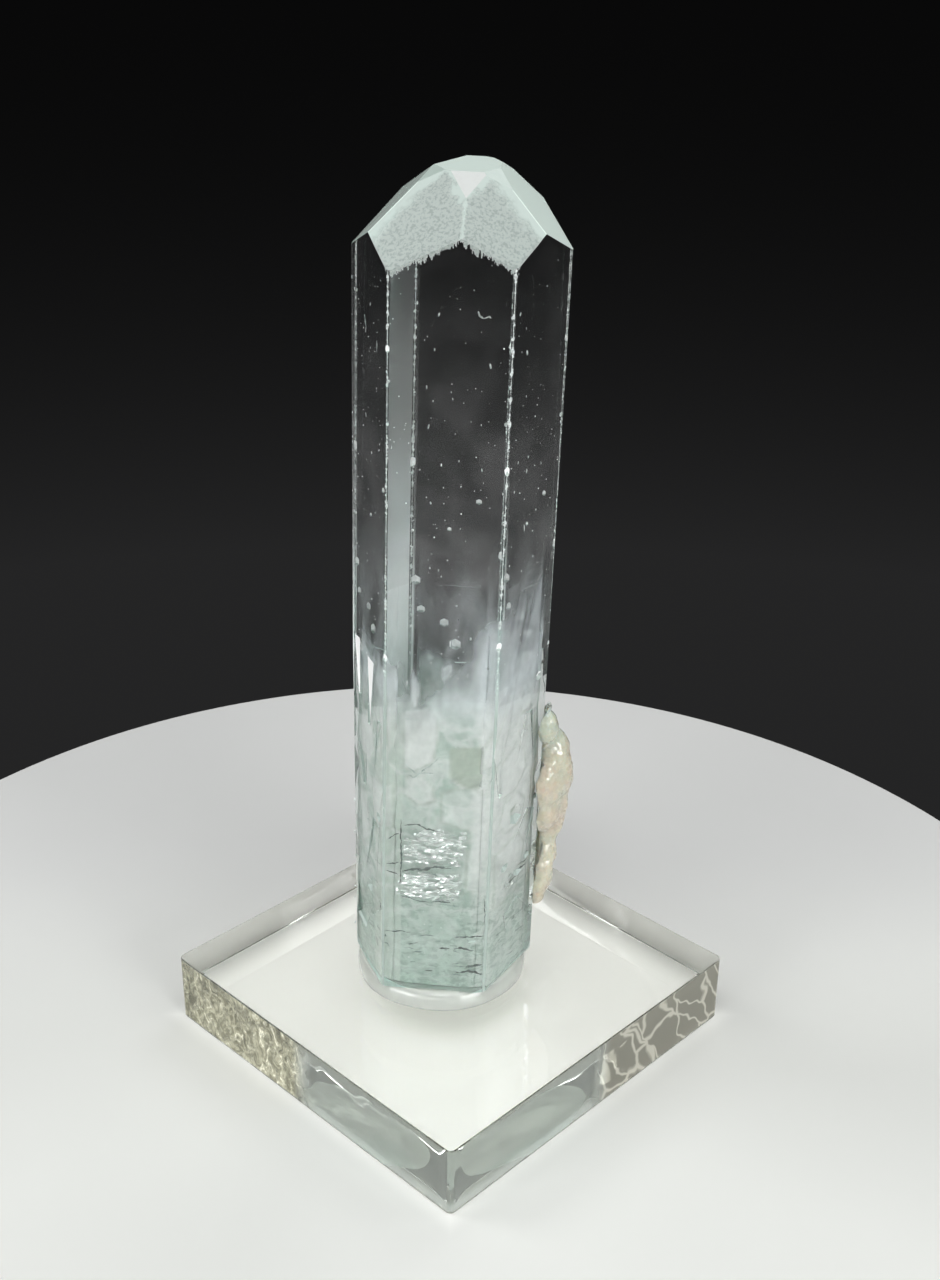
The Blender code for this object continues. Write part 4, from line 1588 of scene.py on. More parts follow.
DARK_CRACKS = (
    Crack(0, 0.11, ((-4.2, 27.3), (-2.6, 27.6), (-1.5, 27.0), (-0.5, 26.9), (0.5, 26.6))),
    Crack(0, 0.09, ((-6.1, 25.1), (-5.4, 25.8), (-4.7, 26.0))),
    Crack(0, 0.10, ((-4.5, 28.1), (-4.5, 24.3), (-4.4, 21.7), (-4.5, 18.4))),
    Crack(0, 0.09, ((-6.3, 21.4), (-4.6, 21.8))),
    Crack(0, 0.19, ((-4.3, 20.5), (-3.3, 20.9), (-2.0, 21.0), (-0.4, 21.5), (1.7, 21.5))),
    Crack(0, 0.10, ((-6.2, 20.6), (-4.9, 20.0))),
    Crack(0, 0.10, ((-4.6, 17.0), (-3.8, 16.7), (-1.9, 16.2), (-0.8, 16.2))),
    Crack(0, 0.09, ((-0.6, 16.4), (1.8, 16.3))),
    Crack(0, 0.08, ((-6.4, 11.2), (-4.0, 11.4), (-3.1, 11.2))),
    Crack(0, 0.08, ((-2.2, 11.0), (-0.2, 11.1))),
    Crack(0, 0.12, ((2.4, 11.1), (4.1, 11.3), (5.9, 11.7))),
    Crack(0, 0.09, ((-3.5, 9.4), (-2.2, 9.8))),
    Crack(0, 0.12, ((0.4, 9.2), (1.8, 9.3))),
    Crack(0, 0.16, ((2.2, 9.1), (3.1, 9.5), (4.7, 9.2))),
    Crack(0, 0.16, ((2.7, 5.5), (4.3, 5.9), (6.0, 5.7))),
    Crack(0, 0.10, ((-1.3, 5.4), (-0.3, 5.6))),
    Crack(0, 0.20, ((3.7, 6.5), (5.9, 7.2))),
    Crack(1, 0.10, ((-1.3, 17.0), (-0.1, 17.2), (1.1, 17.3))),
    Crack(1, 0.13, ((1.5, 17.4), (2.2, 17.9), (3.5, 17.9))),
    Crack(1, 0.09, ((1.5, 18.8), (3.5, 18.5))),
    Crack(0, 0.06, ((5.8, 17.4), (6.0, 15.6), (5.9, 13.6))),
    Crack(5, 0.09, ((-4.7, 22.5), (-4.1, 19.5), (-3.2, 17.8))),
    Crack(5, 0.09, ((3.4, 14.9), (4.0, 14.5), (4.1, 13.6))),
    Crack(5, 0.08, ((2.4, 9.2), (3.1, 7.4))),
    Crack(3, 0.10, ((-3.4, 15.9), (0.0, 16.5), (3.1, 16.1))),
    Crack(3, 0.12, ((-2.4, 9.9), (1.0, 9.5), (2.6, 10.1))),
    Crack(2, 0.10, ((-2.4, 12.9), (1.0, 13.5), (2.6, 13.1))),
)
GREY_CRACKS = (
    Crack(0, 0.08, ((-4.7, 34.8), (-3.9, 34.6), (-3.1, 34.1), (-1.7, 35.5), (-0.1, 37.3))),
    Crack(0, 0.08, ((-4.2, 36.0), (-2.9, 34.8), (-0.8, 35.0))),
    Crack(0, 0.015, ((-0.7, 59.5), (2.2, 59.6), (4.3, 59.5))),
    Crack(0, 0.04, ((-4.7, 42.2), (-3.4, 42.1), (-2.2, 42.2))),
    Crack(1, 0.02, ((-3.4, 57.2), (-0.4, 57.8), (3.2, 57.4))),
)
FIBRES = (
    Crack(0, 0.13, ((2.55, 90.35), (2.75, 89.9), (3.2, 89.7), (3.6, 89.95), (3.95, 89.75))),
    Crack(5, 0.12, ((-1.5, 87.7), (-1.1, 86.6), (-1.05, 85.8))),
    Crack(5, 0.10, ((1.9, 85.9), (2.0, 84.6))),
    Crack(1, 0.09, ((-1.2, 66.0), (-1.0, 65.0))),
)


@dataclass(frozen=True)
class HairCracks:
    """Short, nearly level hair cracks, crowded in a band behind some prism faces."""

    low: float
    high: float
    count: int
    wide: float
    faces: tuple[tuple[int, float, float], ...]  # each with its left and right end
    seed: int

    def cracks(self) -> list[Crack]:
        """Draw the cracks.

        Returns:
            The cracks.
        """
        chance = random.Random(self.seed)
        made = []
        for _ in range(self.count):
            face, left, right = chance.choice(self.faces)
            across, height = chance.uniform(left, right), chance.uniform(self.low, self.high)
            path, long = [], chance.uniform(0.25, 0.9)
            for _ in range(chance.randint(3, 5)):
                path.append((across, height))
                across += long * chance.uniform(0.6, 1.2)
                height += chance.uniform(-0.18, 0.22)
            made.append(Crack(face, self.wide * chance.uniform(0.5, 1.2), tuple(path)))
        return made


HAIR_CRACKS = (
    HairCracks(
        5.0, 11.6, 34, 0.10, ((0, -4.5, 4.0), (0, 0.5, 4.5), (1, -4.0, 2.0), (5, -3.0, 3.0)), 4
    ),
    HairCracks(
        16.0, 26.5, 30, 0.07, ((0, -4.8, 1.5), (0, -4.8, -2.0), (1, -2.5, 1.5), (5, -2.0, 3.0)), 9
    ),
    HairCracks(6.0, 26.0, 24, 0.10, ((2, -4.0, 2.0), (3, -4.0, 2.0), (4, -4.0, 2.0)), 14),
)


@dataclass
class InnerFeatures:
    """What lies in the beryl or on its edges: milk, cracks, fibres, specks, drops and chips."""

    frame: CrystalFrame
    crack_depth: float = 0.55 * MM
    crack_step: float = 0.12 * MM
    crack_wander: float = 0.45 * MM
    edge_sink: float = 0.24
    edge_half: float = 0.16

    def silver(self) -> Piece:
        """Make the silvery cracks.

        Returns:
            The piece.
        """
        shape = bmesh.new()
        for patch in SILVER_PATCHES:
            patch.add(shape, self.frame)
        bmesh.ops.transform(shape, matrix=self.frame.matrix(), verts=shape.verts)
        return object_from("silver_cracks", shape, [SILVER_FILM.material()])

    def cracks(self, name: str, chosen: Sequence[Crack], finish: PlainFinish) -> Piece:
        """Make one group of cracks.

        Args:
            name: The piece's name.
            chosen: The cracks.
            finish: Their finish.

        Returns:
            The piece.
        """
        shape = bmesh.new()
        wide = shape.verts.layers.float.new(WIDE)
        for crack in chosen:
            place = self.frame.behind(crack.face, 0.0, 0.0, self.crack_depth)
            before = None
            for across, height in crack.path:
                vertex = shape.verts.new(place @ Vector((across * MM, height * MM, 0)))
                vertex[wide] = crack.wide * MM
                if before is not None:
                    shape.edges.new((before, vertex))
                before = vertex
        host = object_from(name, shape)
        tree = CrackTree(name, finish.material())
        return tree.run(name, host, self.frame, Step=self.crack_step, Wander=self.crack_wander)

    def plates(
        self, behind: float, low: float, high: float, inset: float, faces: Sequence[int]
    ) -> Piece:
        """Make host planes behind prism faces.

        Args:
            behind: How far behind each face.
            low: Their lower edge.
            high: Their upper edge.
            inset: How far their sides stay in from the prism edges.
            faces: The prism faces.

        Returns:
            The host.
        """
        shape = bmesh.new()
        inner = self.frame.drawn_in(behind)
        for face in faces:
            sides = []
            for height in (low, high):
                start, end = inner.sides(face, height)
                way = (end - start).normalized()
                sides.append((start + way * inset, end - way * inset))
            (first, second), (fourth, third) = sides
            shape.faces.new([shape.verts.new(point) for point in (first, second, third, fourth)])
        return object_from("host", shape)

    def edge_flats(self, low: float, high: float) -> Piece:
        """Make host strips along the six blunt prism edges.

        Args:
            low: Their lower end.
            high: Their upper end.

        Returns:
            The host.
        """
        shape = bmesh.new()
        for edge in range(6):
            out, right = self.frame.normal(edge + 0.5), self.frame.normal(edge + 2)
            corners = []
            for height, side in ((low, -1), (low, 1), (high, 1), (high, -1)):
                middle = self.frame.edge_point(edge, height) - out * self.edge_sink * MM
                corners.append(middle + right * side * self.edge_half * MM)
            shape.faces.new([shape.verts.new(point) for point in corners])
        return object_from("host", shape)

    def grains(self) -> list[Piece]:
        """Make the fine specks on the faces, the drops behind them and the chips on the edges.

        Returns:
            The pieces.
        """
        frame = self.frame
        white, chipped = SPECK_WHITE.material(), CHIP_WHITE.material()
        dust, drops = GrainTree("surface_specks", white), GrainTree("drops", white)
        chips = GrainTree("edge_chips", chipped)
        return [
            dust.run(
                "fine_specks",
                self.plates(-0.01 * MM, 6 * MM, 92 * MM, 0.4 * MM, range(6)),
                frame,
                Density=1.3e5, Small=0.022 * MM, Large=0.085 * MM, Stretch=1.2, Turn=0.5, Seed=3,
            ),
            drops.run(
                "inner_drops",
                self.plates(2.2 * MM, 14 * MM, 88 * MM, 0.8 * MM, (0, 1, 5, 3)),
                frame,
                Density=5.5e4, Small=0.03 * MM, Large=0.16 * MM, Stretch=2.2, Turn=0.25, Seed=11,
            ),
            chips.run(
                "edge_chips",
                self.edge_flats(4 * MM, 91 * MM),
                frame,
                Density=1.2e6, Small=0.03 * MM, Large=0.20 * MM, Stretch=1.6, Turn=0.4, Seed=5,
            ),
        ]

    def build(self) -> list[Piece]:
        """Make the pieces.

        Returns:
            The pieces.
        """
        hairs = [crack for band in HAIR_CRACKS for crack in band.cracks()]
        return [
            MilkyCore(self.frame).build(),
            self.silver(),
            self.cracks("hair_cracks", hairs, CRACK_HAIR),
            self.cracks("dark_cracks", DARK_CRACKS, CRACK_SHADOW),
            self.cracks("grey_cracks", GREY_CRACKS, CRACK_GREY),
            self.cracks("pale_fibres", FIBRES, FIBRE_WHITE),
            *self.grains(),
        ]


# ---------------------------------------- the object's parts


class BerylFace(Enum):
    """The kinds of surface on the crystal, by material index."""

    POLISHED = 0
    EDGE = 1
    FOOT = 2
    PIT = 3
    TIP = 4
    FLANK = 5
    CAP = 6
    BROW = 7
    SHOULDER = 8


ETCHED_FACES = {  # name, roughness, clearest, whitest, white and grain
    BerylFace.FOOT: ("aquamarine_broken_foot", 0.4, 0.30, 0.95, (0.78, 0.97, 0.93), 0.5),
    # The pit walls' near-full white cover is painted light, standing in for the floor light their
    # slanted walls bend into view.
    BerylFace.PIT: ("aquamarine_pits", 0.3, 0.05, 1.0, (0.985, 0.99, 0.985), 1.6),
    # The cap, brow and shoulders are one satin finish in three tones: the brow and shoulders are
    # darker, painted shade that evens out the light each face catches.
    BerylFace.CAP: ("aquamarine_satin_cap", 0.35, 0.05, 0.98, (0.60, 0.70, 0.65), 0.5),
    BerylFace.BROW: ("aquamarine_satin_brow_painted_shade", 0.35, 0.05, 0.98, (0.45, 0.465, 0.455), 0.5),
    BerylFace.SHOULDER: ("aquamarine_satin_shoulder_painted_shade", 0.35, 0.05, 0.98, (0.35, 0.425, 0.39), 0.5),
}


def is_flank(face: bmesh.types.BMFace) -> bool:
    """Return whether a face of the crystal is on its etched flanks."""
    return face.material_index == BerylFace.FLANK.value


@dataclass
class ClearCrystal:
    """The aquamarine's body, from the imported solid, with its etched flanks."""

    frame: CrystalFrame
    tint: BerylTint
    grid: float = 0.62 * MM
    flank_top: float = 60.0 * MM
    fade: float = 14 * MM
    flanks: tuple[float, ...] = (0.0, 0.75, 0.8, 0.22, 0.8, 1.0)
    soft_angle: float = math.radians(7)
    sharp_angle: float = math.radians(16)

    def build(self, node: Piece) -> Piece:
        """Make the dressed crystal.

        Args:
            node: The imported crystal.

        Returns:
            The finished piece.
        """
        shape = merged_copy(node, math.radians(0.4))
        bmesh.ops.transform(shape, matrix=self.frame.matrix().inverted(), verts=shape.verts)
        for face in shape.faces:
            face.material_index = self.kind(face).value
            face.smooth = False
        self.divide_flanks(shape)
        self.wave_flanks(shape)
        self.smooth_flanks(shape)
        bmesh.ops.transform(shape, matrix=self.frame.matrix(), verts=shape.verts)
        return object_from("aquamarine_clear", shape, self.materials())

    def materials(self) -> list[Material]:
        """Make the crystal's materials.

        Returns:
            The materials, in the order of BerylFace.
        """
        polish = PolishedBerylFinish(self.frame, self.tint)
        clear = polish.material(frosted=False)
        made = {
            BerylFace.POLISHED: clear,
            BerylFace.EDGE: EdgeFinish(self.frame, self.tint).material(),
            BerylFace.TIP: polish.material(frosted=True),
            BerylFace.FLANK: clear,
        }
        for kind, values in ETCHED_FACES.items():
            made[kind] = EtchedBerylFinish(self.frame, self.tint, *values).material()
        return [made[kind] for kind in BerylFace]

    def prism_face(self, normal: Vector) -> int | None:
        """Return the prism face that a normal belongs to, or None."""
        for face in range(6):
            if normal.dot(self.frame.normal(face)) > 0.985:
                return face
        return None

    def kind(self, face: bmesh.types.BMFace) -> BerylFace:
        """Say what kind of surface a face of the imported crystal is.

        Args:
            face: The face, in the crystal's frame.

        Returns:
            The kind.
        """
        normal, centre = face.normal, face.calc_center_median()
        if normal.z < -0.8:
            return BerylFace.FOOT
        if normal.z > 0.3:
            for side in (0, 1, -1):
                if normal.dot(self.frame.normal(side, self.frame.pyramid_slope)) > 0.999:
                    return BerylFace.SHOULDER if side else BerylFace.BROW
            return BerylFace.TIP if normal.z < 0.8 else BerylFace.CAP
        for edge in range(6):
            if abs(normal.z) < 0.05 and normal.dot(self.frame.normal(edge + 0.5)) > 0.9995:
                return BerylFace.EDGE
        side = self.prism_face(normal)
        if side is not None:
            out = centre.dot(self.frame.normal(side))
            side = side if out >= self.frame.prism[side] - 0.05 * MM else None
        if side is not None:
            low = min(vertex.co.z for vertex in face.verts) < self.flank_top
            return BerylFace.FLANK if low and self.flanks[side] > 0 else BerylFace.POLISHED
        return BerylFace.PIT if 43 * MM < centre.z < 90 * MM else BerylFace.POLISHED

    def divide_flanks(self, shape: Shape) -> None:
        """Divide the lower flanks finely.

        Args:
            shape: The crystal's mesh, in its own frame.
        """
        levels = range(5, int(self.flank_top / self.grid) + 1)
        cuts = [(UP, self.grid * step) for step in levels]
        for face in range(3):
            across = self.frame.normal(face)
            cuts += [(across, self.grid * step) for step in range(-19, 20)]
        for normal, distance in cuts:
            faces = [face for face in shape.faces if is_flank(face)]
            if normal.z < 0.5:
                faces = [face for face in faces if abs(face.normal.dot(normal)) < 0.3]
            edges = dict.fromkeys(edge for face in faces for edge in face.edges)
            verts = dict.fromkeys(vertex for face in faces for vertex in face.verts)
            bmesh.ops.bisect_plane(
                shape,
                geom=faces + list(edges) + list(verts),
                dist=SNAP,
                plane_co=normal * distance,
                plane_no=normal,
            )

    def wave_flanks(self, shape: Shape) -> None:
        """Give the divided flanks the waves of slow etching.

        Args:
            shape: The crystal's mesh, in its own frame.
        """
        moves: list[tuple[bmesh.types.BMVert, Vector]] = []
        for vertex in shape.verts:
            faces = vertex.link_faces
            if not all(is_flank(face) for face in faces):
                continue
            normal = faces[0].normal
            if any(normal.dot(face.normal) < 0.9999 for face in faces):
                continue
            side = self.prism_face(normal)
            if side is None:
                continue
            fade = min(1.0, max(0.0, (self.flank_top - vertex.co.z) / self.fade))
            at = vertex.co / MM
            wave = 0.15 * noise.noise(Vector((at.x * 0.50, at.y * 0.50, at.z * 0.36)))
            wave += 0.06 * noise.noise(Vector((at.x * 1.15, at.y * 1.15, at.z * 0.9 + 20)))
            dent = noise.noise(Vector((at.x * 0.8, at.y * 0.8, at.z * 0.5 + 50)))
            wave -= 0.10 * max(0.0, dent - 0.18) * 4
            moves.append((vertex, normal * (wave * fade * self.flanks[side] * MM)))
        for vertex, move in moves:
            vertex.co += move
        shape.normal_update()

    def smooth_flanks(self, shape: Shape) -> None:
        """Smooth the flanks and keep the crystal's edges sharp.

        Args:
            shape: The crystal's mesh.
        """
        for face in shape.faces:
            face.smooth = is_flank(face)
        for edge in shape.edges:
            both = all(is_flank(face) for face in edge.link_faces)
            if len(edge.link_faces) == 2 and edge.calc_face_angle() > self.soft_angle:
                edge.smooth = both and edge.calc_face_angle() < self.sharp_angle
            elif not both:
                edge.smooth = False


@dataclass
class FeldsparCrust:
    """The feldspar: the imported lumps, made finer and rounder."""

    levels: int = 2
    necks: tuple[Triple, ...] = (
        (49.0, 1.3, -0.55), (43.0, 5.0, 0.30), (35.0, 1.2, -0.35), (28.6, 1.5, -0.6)
    )

    def build(self, node: Piece) -> Piece:
        """Make the crust.

        Args:
            node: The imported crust.

        Returns:
            The finished piece.
        """
        made = object_from("feldspar_lumps", merged_copy(node), [FeldsparFinish().material()])
        finer = made.modifiers.new("finer", "SUBSURF")
        finer.levels = finer.render_levels = self.levels
        evaluated(made)
        moves = []
        for vertex in made.data.vertices:
            at = vertex.co / MM
            lump = 0.55 - noise.voronoi(at / 2.6)[0][0]
            rise = 0.40 * lump + 0.10 * noise.noise(at * 0.9) + 0.05 * noise.noise(at * 2.4)
            for height, reach, swell in self.necks:
                rise += swell * math.exp(-(((at.z - height) / reach) ** 2))
            moves.append(vertex.co + vertex.normal * (MM * rise))
        for vertex, place in zip(made.data.vertices, moves, strict=True):
            vertex.co = place
        made.data.shade_smooth()
        return made


@dataclass
class AdhesivePad:
    """The pad of clear adhesive: squeezed out round the foot, with a meniscus up its sides."""

    frame: CrystalFrame
    radius: float = 11.0 * MM
    creep: float = 0.35 * MM
    sides: int = 96
    shoulder: tuple[Spot, ...] = (
        (0.04, 0.0), (0.07, 0.35), (0.05, 0.9), (-0.02, 1.4), (-0.16, 1.85),
        (-0.42, 2.15), (-0.80, 2.28), (-1.6, 2.42), (-2.4, 2.60),
    )

    def outline(self, turn: float) -> float:
        """Return the pad's radius in a direction, in radians."""
        wander = math.sin(2 * turn + 0.7) + 0.6 * math.sin(3 * turn)
        wander += 0.4 * math.cos(6 * turn + 0.4)
        return self.radius + self.creep * wander / 2

    def foot_solid(self) -> Piece:
        """Make the crystal's foot, shrunk by the contact depth.

        Returns:
            The solid that is cut out of the pad.
        """
        frame = self.frame
        shape = bmesh.new()
        bmesh.ops.create_cube(shape, size=60 * MM)
        for face, distance in enumerate(frame.prism):
            cut_back(shape, frame.normal(face), distance - CONTACT)
        cut_back(shape, -UP, -frame.foot_height - CONTACT)
        for turn, slope, height in frame.foot_breaks:
            normal = frame.outward(turn, math.pi - math.radians(slope))
            cut_back(shape, normal, height * normal.z - CONTACT)
        bmesh.ops.transform(shape, matrix=frame.matrix(), verts=shape.verts)
        bmesh.ops.recalc_face_normals(shape, faces=shape.faces)
        return object_from("foot_cutter", shape)

    def build(self) -> Piece:
        """Make the pad.

        Returns:
            The finished piece.
        """
        shape = bmesh.new()
        centre = Vector(self.frame.foot)
        rings = []
        for out, height in self.shoulder:
            ring = []
            for side in range(self.sides):
                turn = 2 * math.pi * side / self.sides
                reach = self.outline(turn) + out * MM
                level = height * MM - (CONTACT if height == 0 else 0)
                spot = Vector((reach * math.cos(turn), reach * math.sin(turn), level))
                ring.append(shape.verts.new(centre + spot))
            rings.append(ring)
        for lower, upper in zip(rings, rings[1:]):
            for side in range(self.sides):
                after = (side + 1) % self.sides
                corners = (lower[side], lower[after], upper[after], upper[side])
                shape.faces.new(corners).smooth = True
        shape.faces.new(rings[0][::-1])
        shape.faces.new(rings[-1])
        made = object_from("adhesive_squeezed", shape, [AdhesiveFinish().material()])
        cutter = self.foot_solid()
        fit = made.modifiers.new("fit", "BOOLEAN")
        fit.operation = "DIFFERENCE"
        fit.object = cutter
        fit.solver = "EXACT"
        evaluated(made)
        bpy.data.objects.remove(cutter, do_unlink=True)
        return made


@dataclass
class AcrylicBase:
    """The block of clear acrylic."""

    side: float = 50.8 * MM
    thickness: float = 9.525 * MM
    corner: float = 0.8 * MM
    edge_break: float = 0.2 * MM
    grid: float = 0.95 * MM
    hollow: float = 0.16
    rear_share: float = 0.3

    def wave_sides(self, shape: Shape) -> None:
        """Give the four sides the slow waves that sawing and buffing leave.

        Args:
            shape: The block's mesh.
        """
        for x, y in ((1, 0), (-1, 0), (0, 1), (0, -1)):
            normal, along = Vector((x, y, 0)), Vector((y, x, 0))
            cuts = [(UP, self.grid * step) for step in range(1, 10)]
            cuts += [(along, self.grid * step) for step in range(-26, 27)]
            for across, distance in cuts:
                wall = [face for face in shape.faces if face.normal.dot(normal) > 0.9999]
                parts = dict.fromkeys(part for face in wall for part in (*face.verts, *face.edges))
                bmesh.ops.bisect_plane(
                    shape,
                    geom=wall + list(parts),
                    dist=SNAP,
                    plane_co=across * distance,
                    plane_no=across,
                )
            for vertex in shape.verts:
                faces = vertex.link_faces
                if faces and all(face.normal.dot(normal) > 0.9999 for face in faces):
                    run, height = vertex.co.dot(along) / MM, vertex.co.z / MM
                    vertex.co -= normal * (self.dip(normal, run, height) * MM)
        shape.normal_update()

    def dip(self, normal: Vector, run: float, height: float) -> float:
        """Say how far a side dips in.

        Args:
            normal: The side's outward normal.
            run: Millimetres along the side, from its middle.
            height: Millimetres up.

        Returns:
            The depth in millimetres, 0 at the side's ends.
        """
        ends = min(self.side / MM / 2 - abs(run), height, self.thickness / MM - height) / 2.2
        wave = noise.noise(Vector((run * 0.16, height * 0.24, 5 * normal.x + 9 * normal.y)))
        if normal.x < 0 and run > -2.0:
            torn = noise.noise(Vector((run * 0.42 + height * 0.3, height * 0.4, 3.0)))
            wave += 0.40 * eased((run + 2.0) / 4.0) * torn
        deep = self.hollow if normal.x + normal.y < 0 else self.rear_share * self.hollow
        return eased(ends) * deep * max(0.0, 0.62 + wave)

    def build(self) -> Piece:
        """Make the block.

        Returns:
            The finished piece.
        """
        shape = bmesh.new()
        bmesh.ops.create_cube(shape, size=1.0)
        bmesh.ops.scale(shape, vec=(self.side, self.side, self.thickness), verts=shape.verts)
        bmesh.ops.translate(shape, vec=(0, 0, self.thickness / 2), verts=shape.verts)
        upright = [edge for edge in shape.edges if not is_level(edge)]
        bevel(shape, upright, self.corner, 6)
        bevel(shape, [edge for edge in shape.edges if is_level(edge)], self.edge_break, 2)
        self.wave_sides(shape)
        for face in shape.faces:
            face.smooth = abs(face.normal.z) < 0.9
        for edge in shape.edges:
            edge.smooth = edge.calc_face_angle(0.0) < math.radians(12)
        return object_from("acrylic_block", shape, [AcrylicFinish().material()])


# ---------------------------------------- the studio


@dataclass
class Studio:
    """The camera, the pale round floor with its painted light and shade, the dark surround and the
    lights.
    """

    eye: Triple = (-122.63 * MM, -121.96 * MM, 139.23 * MM)
    heading: float = math.radians(45.843)
    pitch: float = math.radians(-25.708)
    roll: float = math.radians(0.604)
    lens: float = 45.17
    floor_centre: Spot = (-0.50 * MM, 2.81 * MM)
    floor_radius: float = 95.0 * MM
    floor_thickness: float = 4.0 * MM
    floor_round: float = 0.5 * MM
    # The next fields set the floor's painted pool of light under the block and the painted shadow
    # under the crystal's foot.
    painted_glow: float = 0.50
    painted_foot_shadow: float = 0.78
    painted_shadow_reach: Spot = (7.0, 12.5)
    painted_glow_reach: float = 28.0
    painted_glow_full: float = 21.0

    def camera(self) -> None:
        """Set up the camera."""
        flat = math.cos(self.pitch)
        north, east = math.cos(self.heading) * flat, math.sin(self.heading) * flat
        ahead = Vector((east, north, math.sin(self.pitch)))
        level = ahead.cross(UP).normalized()
        above = level.cross(ahead)
        right = level * math.cos(self.roll) + above * math.sin(self.roll)
        up = above * math.cos(self.roll) - level * math.sin(self.roll)
        data = bpy.data.cameras.new("camera")
        data.sensor_fit = "VERTICAL"
        data.sensor_height = 36.0
        data.lens = self.lens
        data.clip_start = 1.0 * MM
        made = bpy.data.objects.new("camera", data)
        turn = Matrix((right, up, -ahead)).transposed().to_4x4()
        made.matrix_world = Matrix.Translation(self.eye) @ turn
        bpy.context.scene.collection.objects.link(made)
        bpy.context.scene.camera = made

    def floor(self) -> None:
        """Make the pale round floor, which emits a painted pool of light under the block, with a
        painted greenish shadow under the crystal's foot and painted shade further back.
        """
        shape = bmesh.new()
        bmesh.ops.create_cone(
            shape,
            cap_ends=True,
            segments=192,
            radius1=self.floor_radius,
            radius2=self.floor_radius,
            depth=self.floor_thickness,
        )
        drop = -self.floor_thickness / 2 - 0.02 * MM
        bmesh.ops.translate(shape, vec=(*self.floor_centre, drop), verts=shape.verts)
        bevel(shape, [edge for edge in shape.edges if is_level(edge)], self.floor_round, 4)
        graph = ShaderGraph("studio_floor")
        cast = graph.noise(graph.place(), 0.03, 2.0, 0.5)
        # The floor emits light under the block though it is no lamp: a painted pool of light.
        spread = graph.vector_math("ABSOLUTE", graph.place()).outputs["Vector"]
        east, north, _ = graph.parts(spread)
        painted_glow_share = graph.step(graph.most(east, north), self.painted_glow_reach, self.painted_glow_full, 0.0, self.painted_glow)
        # Under the crystal's foot the emission is dimmed and the floor turned greenish: a painted
        # shadow.
        around = graph.vector_math("LENGTH", graph.place()).outputs["Value"]
        outside_painted_shadow = graph.step(around, *self.painted_shadow_reach, self.painted_foot_shadow, 1.0)
        # Painted shade: the floor darkens further back, as if further from the lights.
        away = graph.step(graph.dot(graph.place(), (0.7071, 0.7071, 0.0)), -5.0, 45.0)
        near = graph.blend(cast, (0.618, 0.630, 0.606), (0.645, 0.657, 0.632))
        far = graph.blend(cast, (0.562, 0.570, 0.562), (0.590, 0.598, 0.590))
        graph.surface(
            Base_Color=graph.blend(outside_painted_shadow, (0.62, 0.66, 0.50), graph.blend(away, near, far)),
            Roughness=0.6,
            Specular_IOR_Level=0.25,
            Emission_Color=(1.0, 1.0, 0.955),
            Emission_Strength=graph.product(painted_glow_share, outside_painted_shadow),
        )
        object_from("studio_floor", shape, [graph.material])

    def surround(self) -> None:
        """Make the dark surround, a little paler low down."""
        world = bpy.data.worlds.new("dark_surround")
        bpy.context.scene.world = world
        world.use_nodes = True
        tree = world.node_tree
        around = tree.nodes.new("ShaderNodeTexCoord")
        split = tree.nodes.new("ShaderNodeSeparateXYZ")
        fall = tree.nodes.new("ShaderNodeMath")
        fall.operation = "MULTIPLY"
        fall.use_clamp = True
        curve = tree.nodes.new("ShaderNodeMath")
        curve.operation = "POWER"
        rise = tree.nodes.new("ShaderNodeMapRange")
        tree.links.new(around.outputs["Generated"], split.inputs[0])
        tree.links.new(split.outputs["Z"], fall.inputs[0])
        fall.inputs[1].default_value = -1.0
        tree.links.new(fall.outputs[0], curve.inputs[0])
        curve.inputs[1].default_value = 3.0
        tree.links.new(curve.outputs[0], rise.inputs["Value"])
        rise.inputs["From Max"].default_value = 0.055
        rise.inputs["To Min"].default_value = 0.0026
        rise.inputs["To Max"].default_value = 0.018
        tree.links.new(rise.outputs["Result"], tree.nodes["Background"].inputs["Strength"])
        tree.nodes["Background"].inputs["Color"].default_value = (1.0, 1.0, 1.02, 1.0)

    def softbox(
        self, name: str, turn: float, rise: float, distance: float, size: float, power: float
    ) -> None:
        """Add a square soft light aimed at the crystal.

        Args:
            name: The light's name.
            turn: Its direction from the crystal, in degrees from the camera's side to the right.
            rise: Its height above the level, in degrees.
            distance: Its distance.
            size: Its side.
            power: Its power, in watts.
        """
        angle, lift = math.radians(turn) - self.heading, math.radians(rise)
        flat = math.cos(lift)
        way = Vector((math.sin(angle) * flat, -math.cos(angle) * flat, math.sin(lift)))
        data = bpy.data.lights.new(name, "AREA")
        data.shape = "SQUARE"
        data.size = size
        data.energy = power
        made = bpy.data.objects.new(name, data)
        made.location = Vector((0, 0, 40 * MM)) + way * distance
        made.rotation_euler = way.to_track_quat("Z", "Y").to_euler()
        bpy.context.scene.collection.objects.link(made)

    def build(self) -> None:
        """Build the whole studio."""
        self.camera()
        self.floor()
        self.surround()
        self.softbox("top_light", 0.0, 78.0, 0.55, 0.36, 1.35)
        self.softbox("top_lamp", -8.0, 68.0, 0.55, 0.07, 0.35)
        self.softbox("left_light", -46.0, 11.0, 0.50, 0.26, 1.85)
        self.softbox("right_light", 40.0, 12.0, 0.50, 0.26, 2.25)
        self.softbox("far_left_light", -100.0, 40.0, 0.55, 0.20, 0.9)
        self.softbox("far_right_light", 95.0, 42.0, 0.55, 0.20, 0.4)
        self.softbox("back_light", 150.0, 48.0, 0.60, 0.26, 0.6)
        scene = bpy.context.scene
        scene.view_settings.view_transform = "Standard"
        scene.cycles.max_bounces = 24
        scene.cycles.diffuse_bounces = 12
        scene.cycles.transmission_bounces = 24
        scene.cycles.glossy_bounces = 16
        scene.cycles.transparent_max_bounces = 24


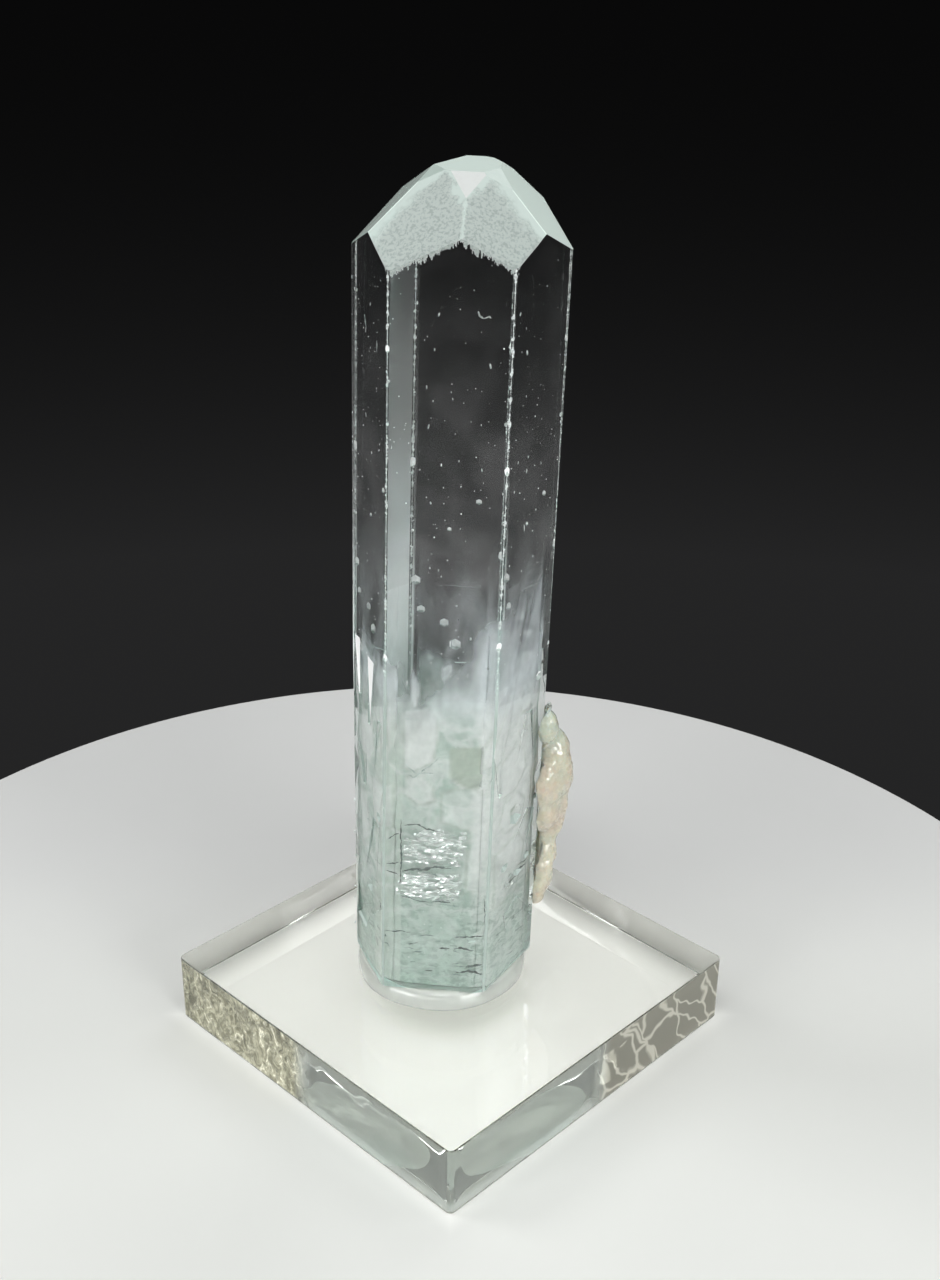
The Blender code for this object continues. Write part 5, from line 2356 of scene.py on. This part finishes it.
def main() -> None:
    """Build the studio and dress every piece."""
    logging.basicConfig(level=logging.INFO, format="%(message)s")
    noise.seed_set(NOISE_SEED)
    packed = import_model()
    nodes = packed["nodes"]
    frame = CrystalFrame()
    tint = BerylTint()
    Studio().build()

    crystal = ClearCrystal(frame, tint).build(nodes[Node.CRYSTAL.value])
    finish_piece(crystal, Slot.AQUAMARINE, Node.CRYSTAL)
    finish_piece(FeldsparCrust().build(nodes[Node.FELDSPAR.value]), Slot.FELDSPAR, Node.FELDSPAR)
    finish_piece(AdhesivePad(frame).build(), Slot.ADHESIVE, Node.ADHESIVE)
    finish_piece(AcrylicBase().build(), Slot.ACRYLIC, Node.BASE)
    for piece in InnerFeatures(frame).build():
        finish_piece(piece, Slot.AQUAMARINE)


if __name__ == "__main__":
    main()
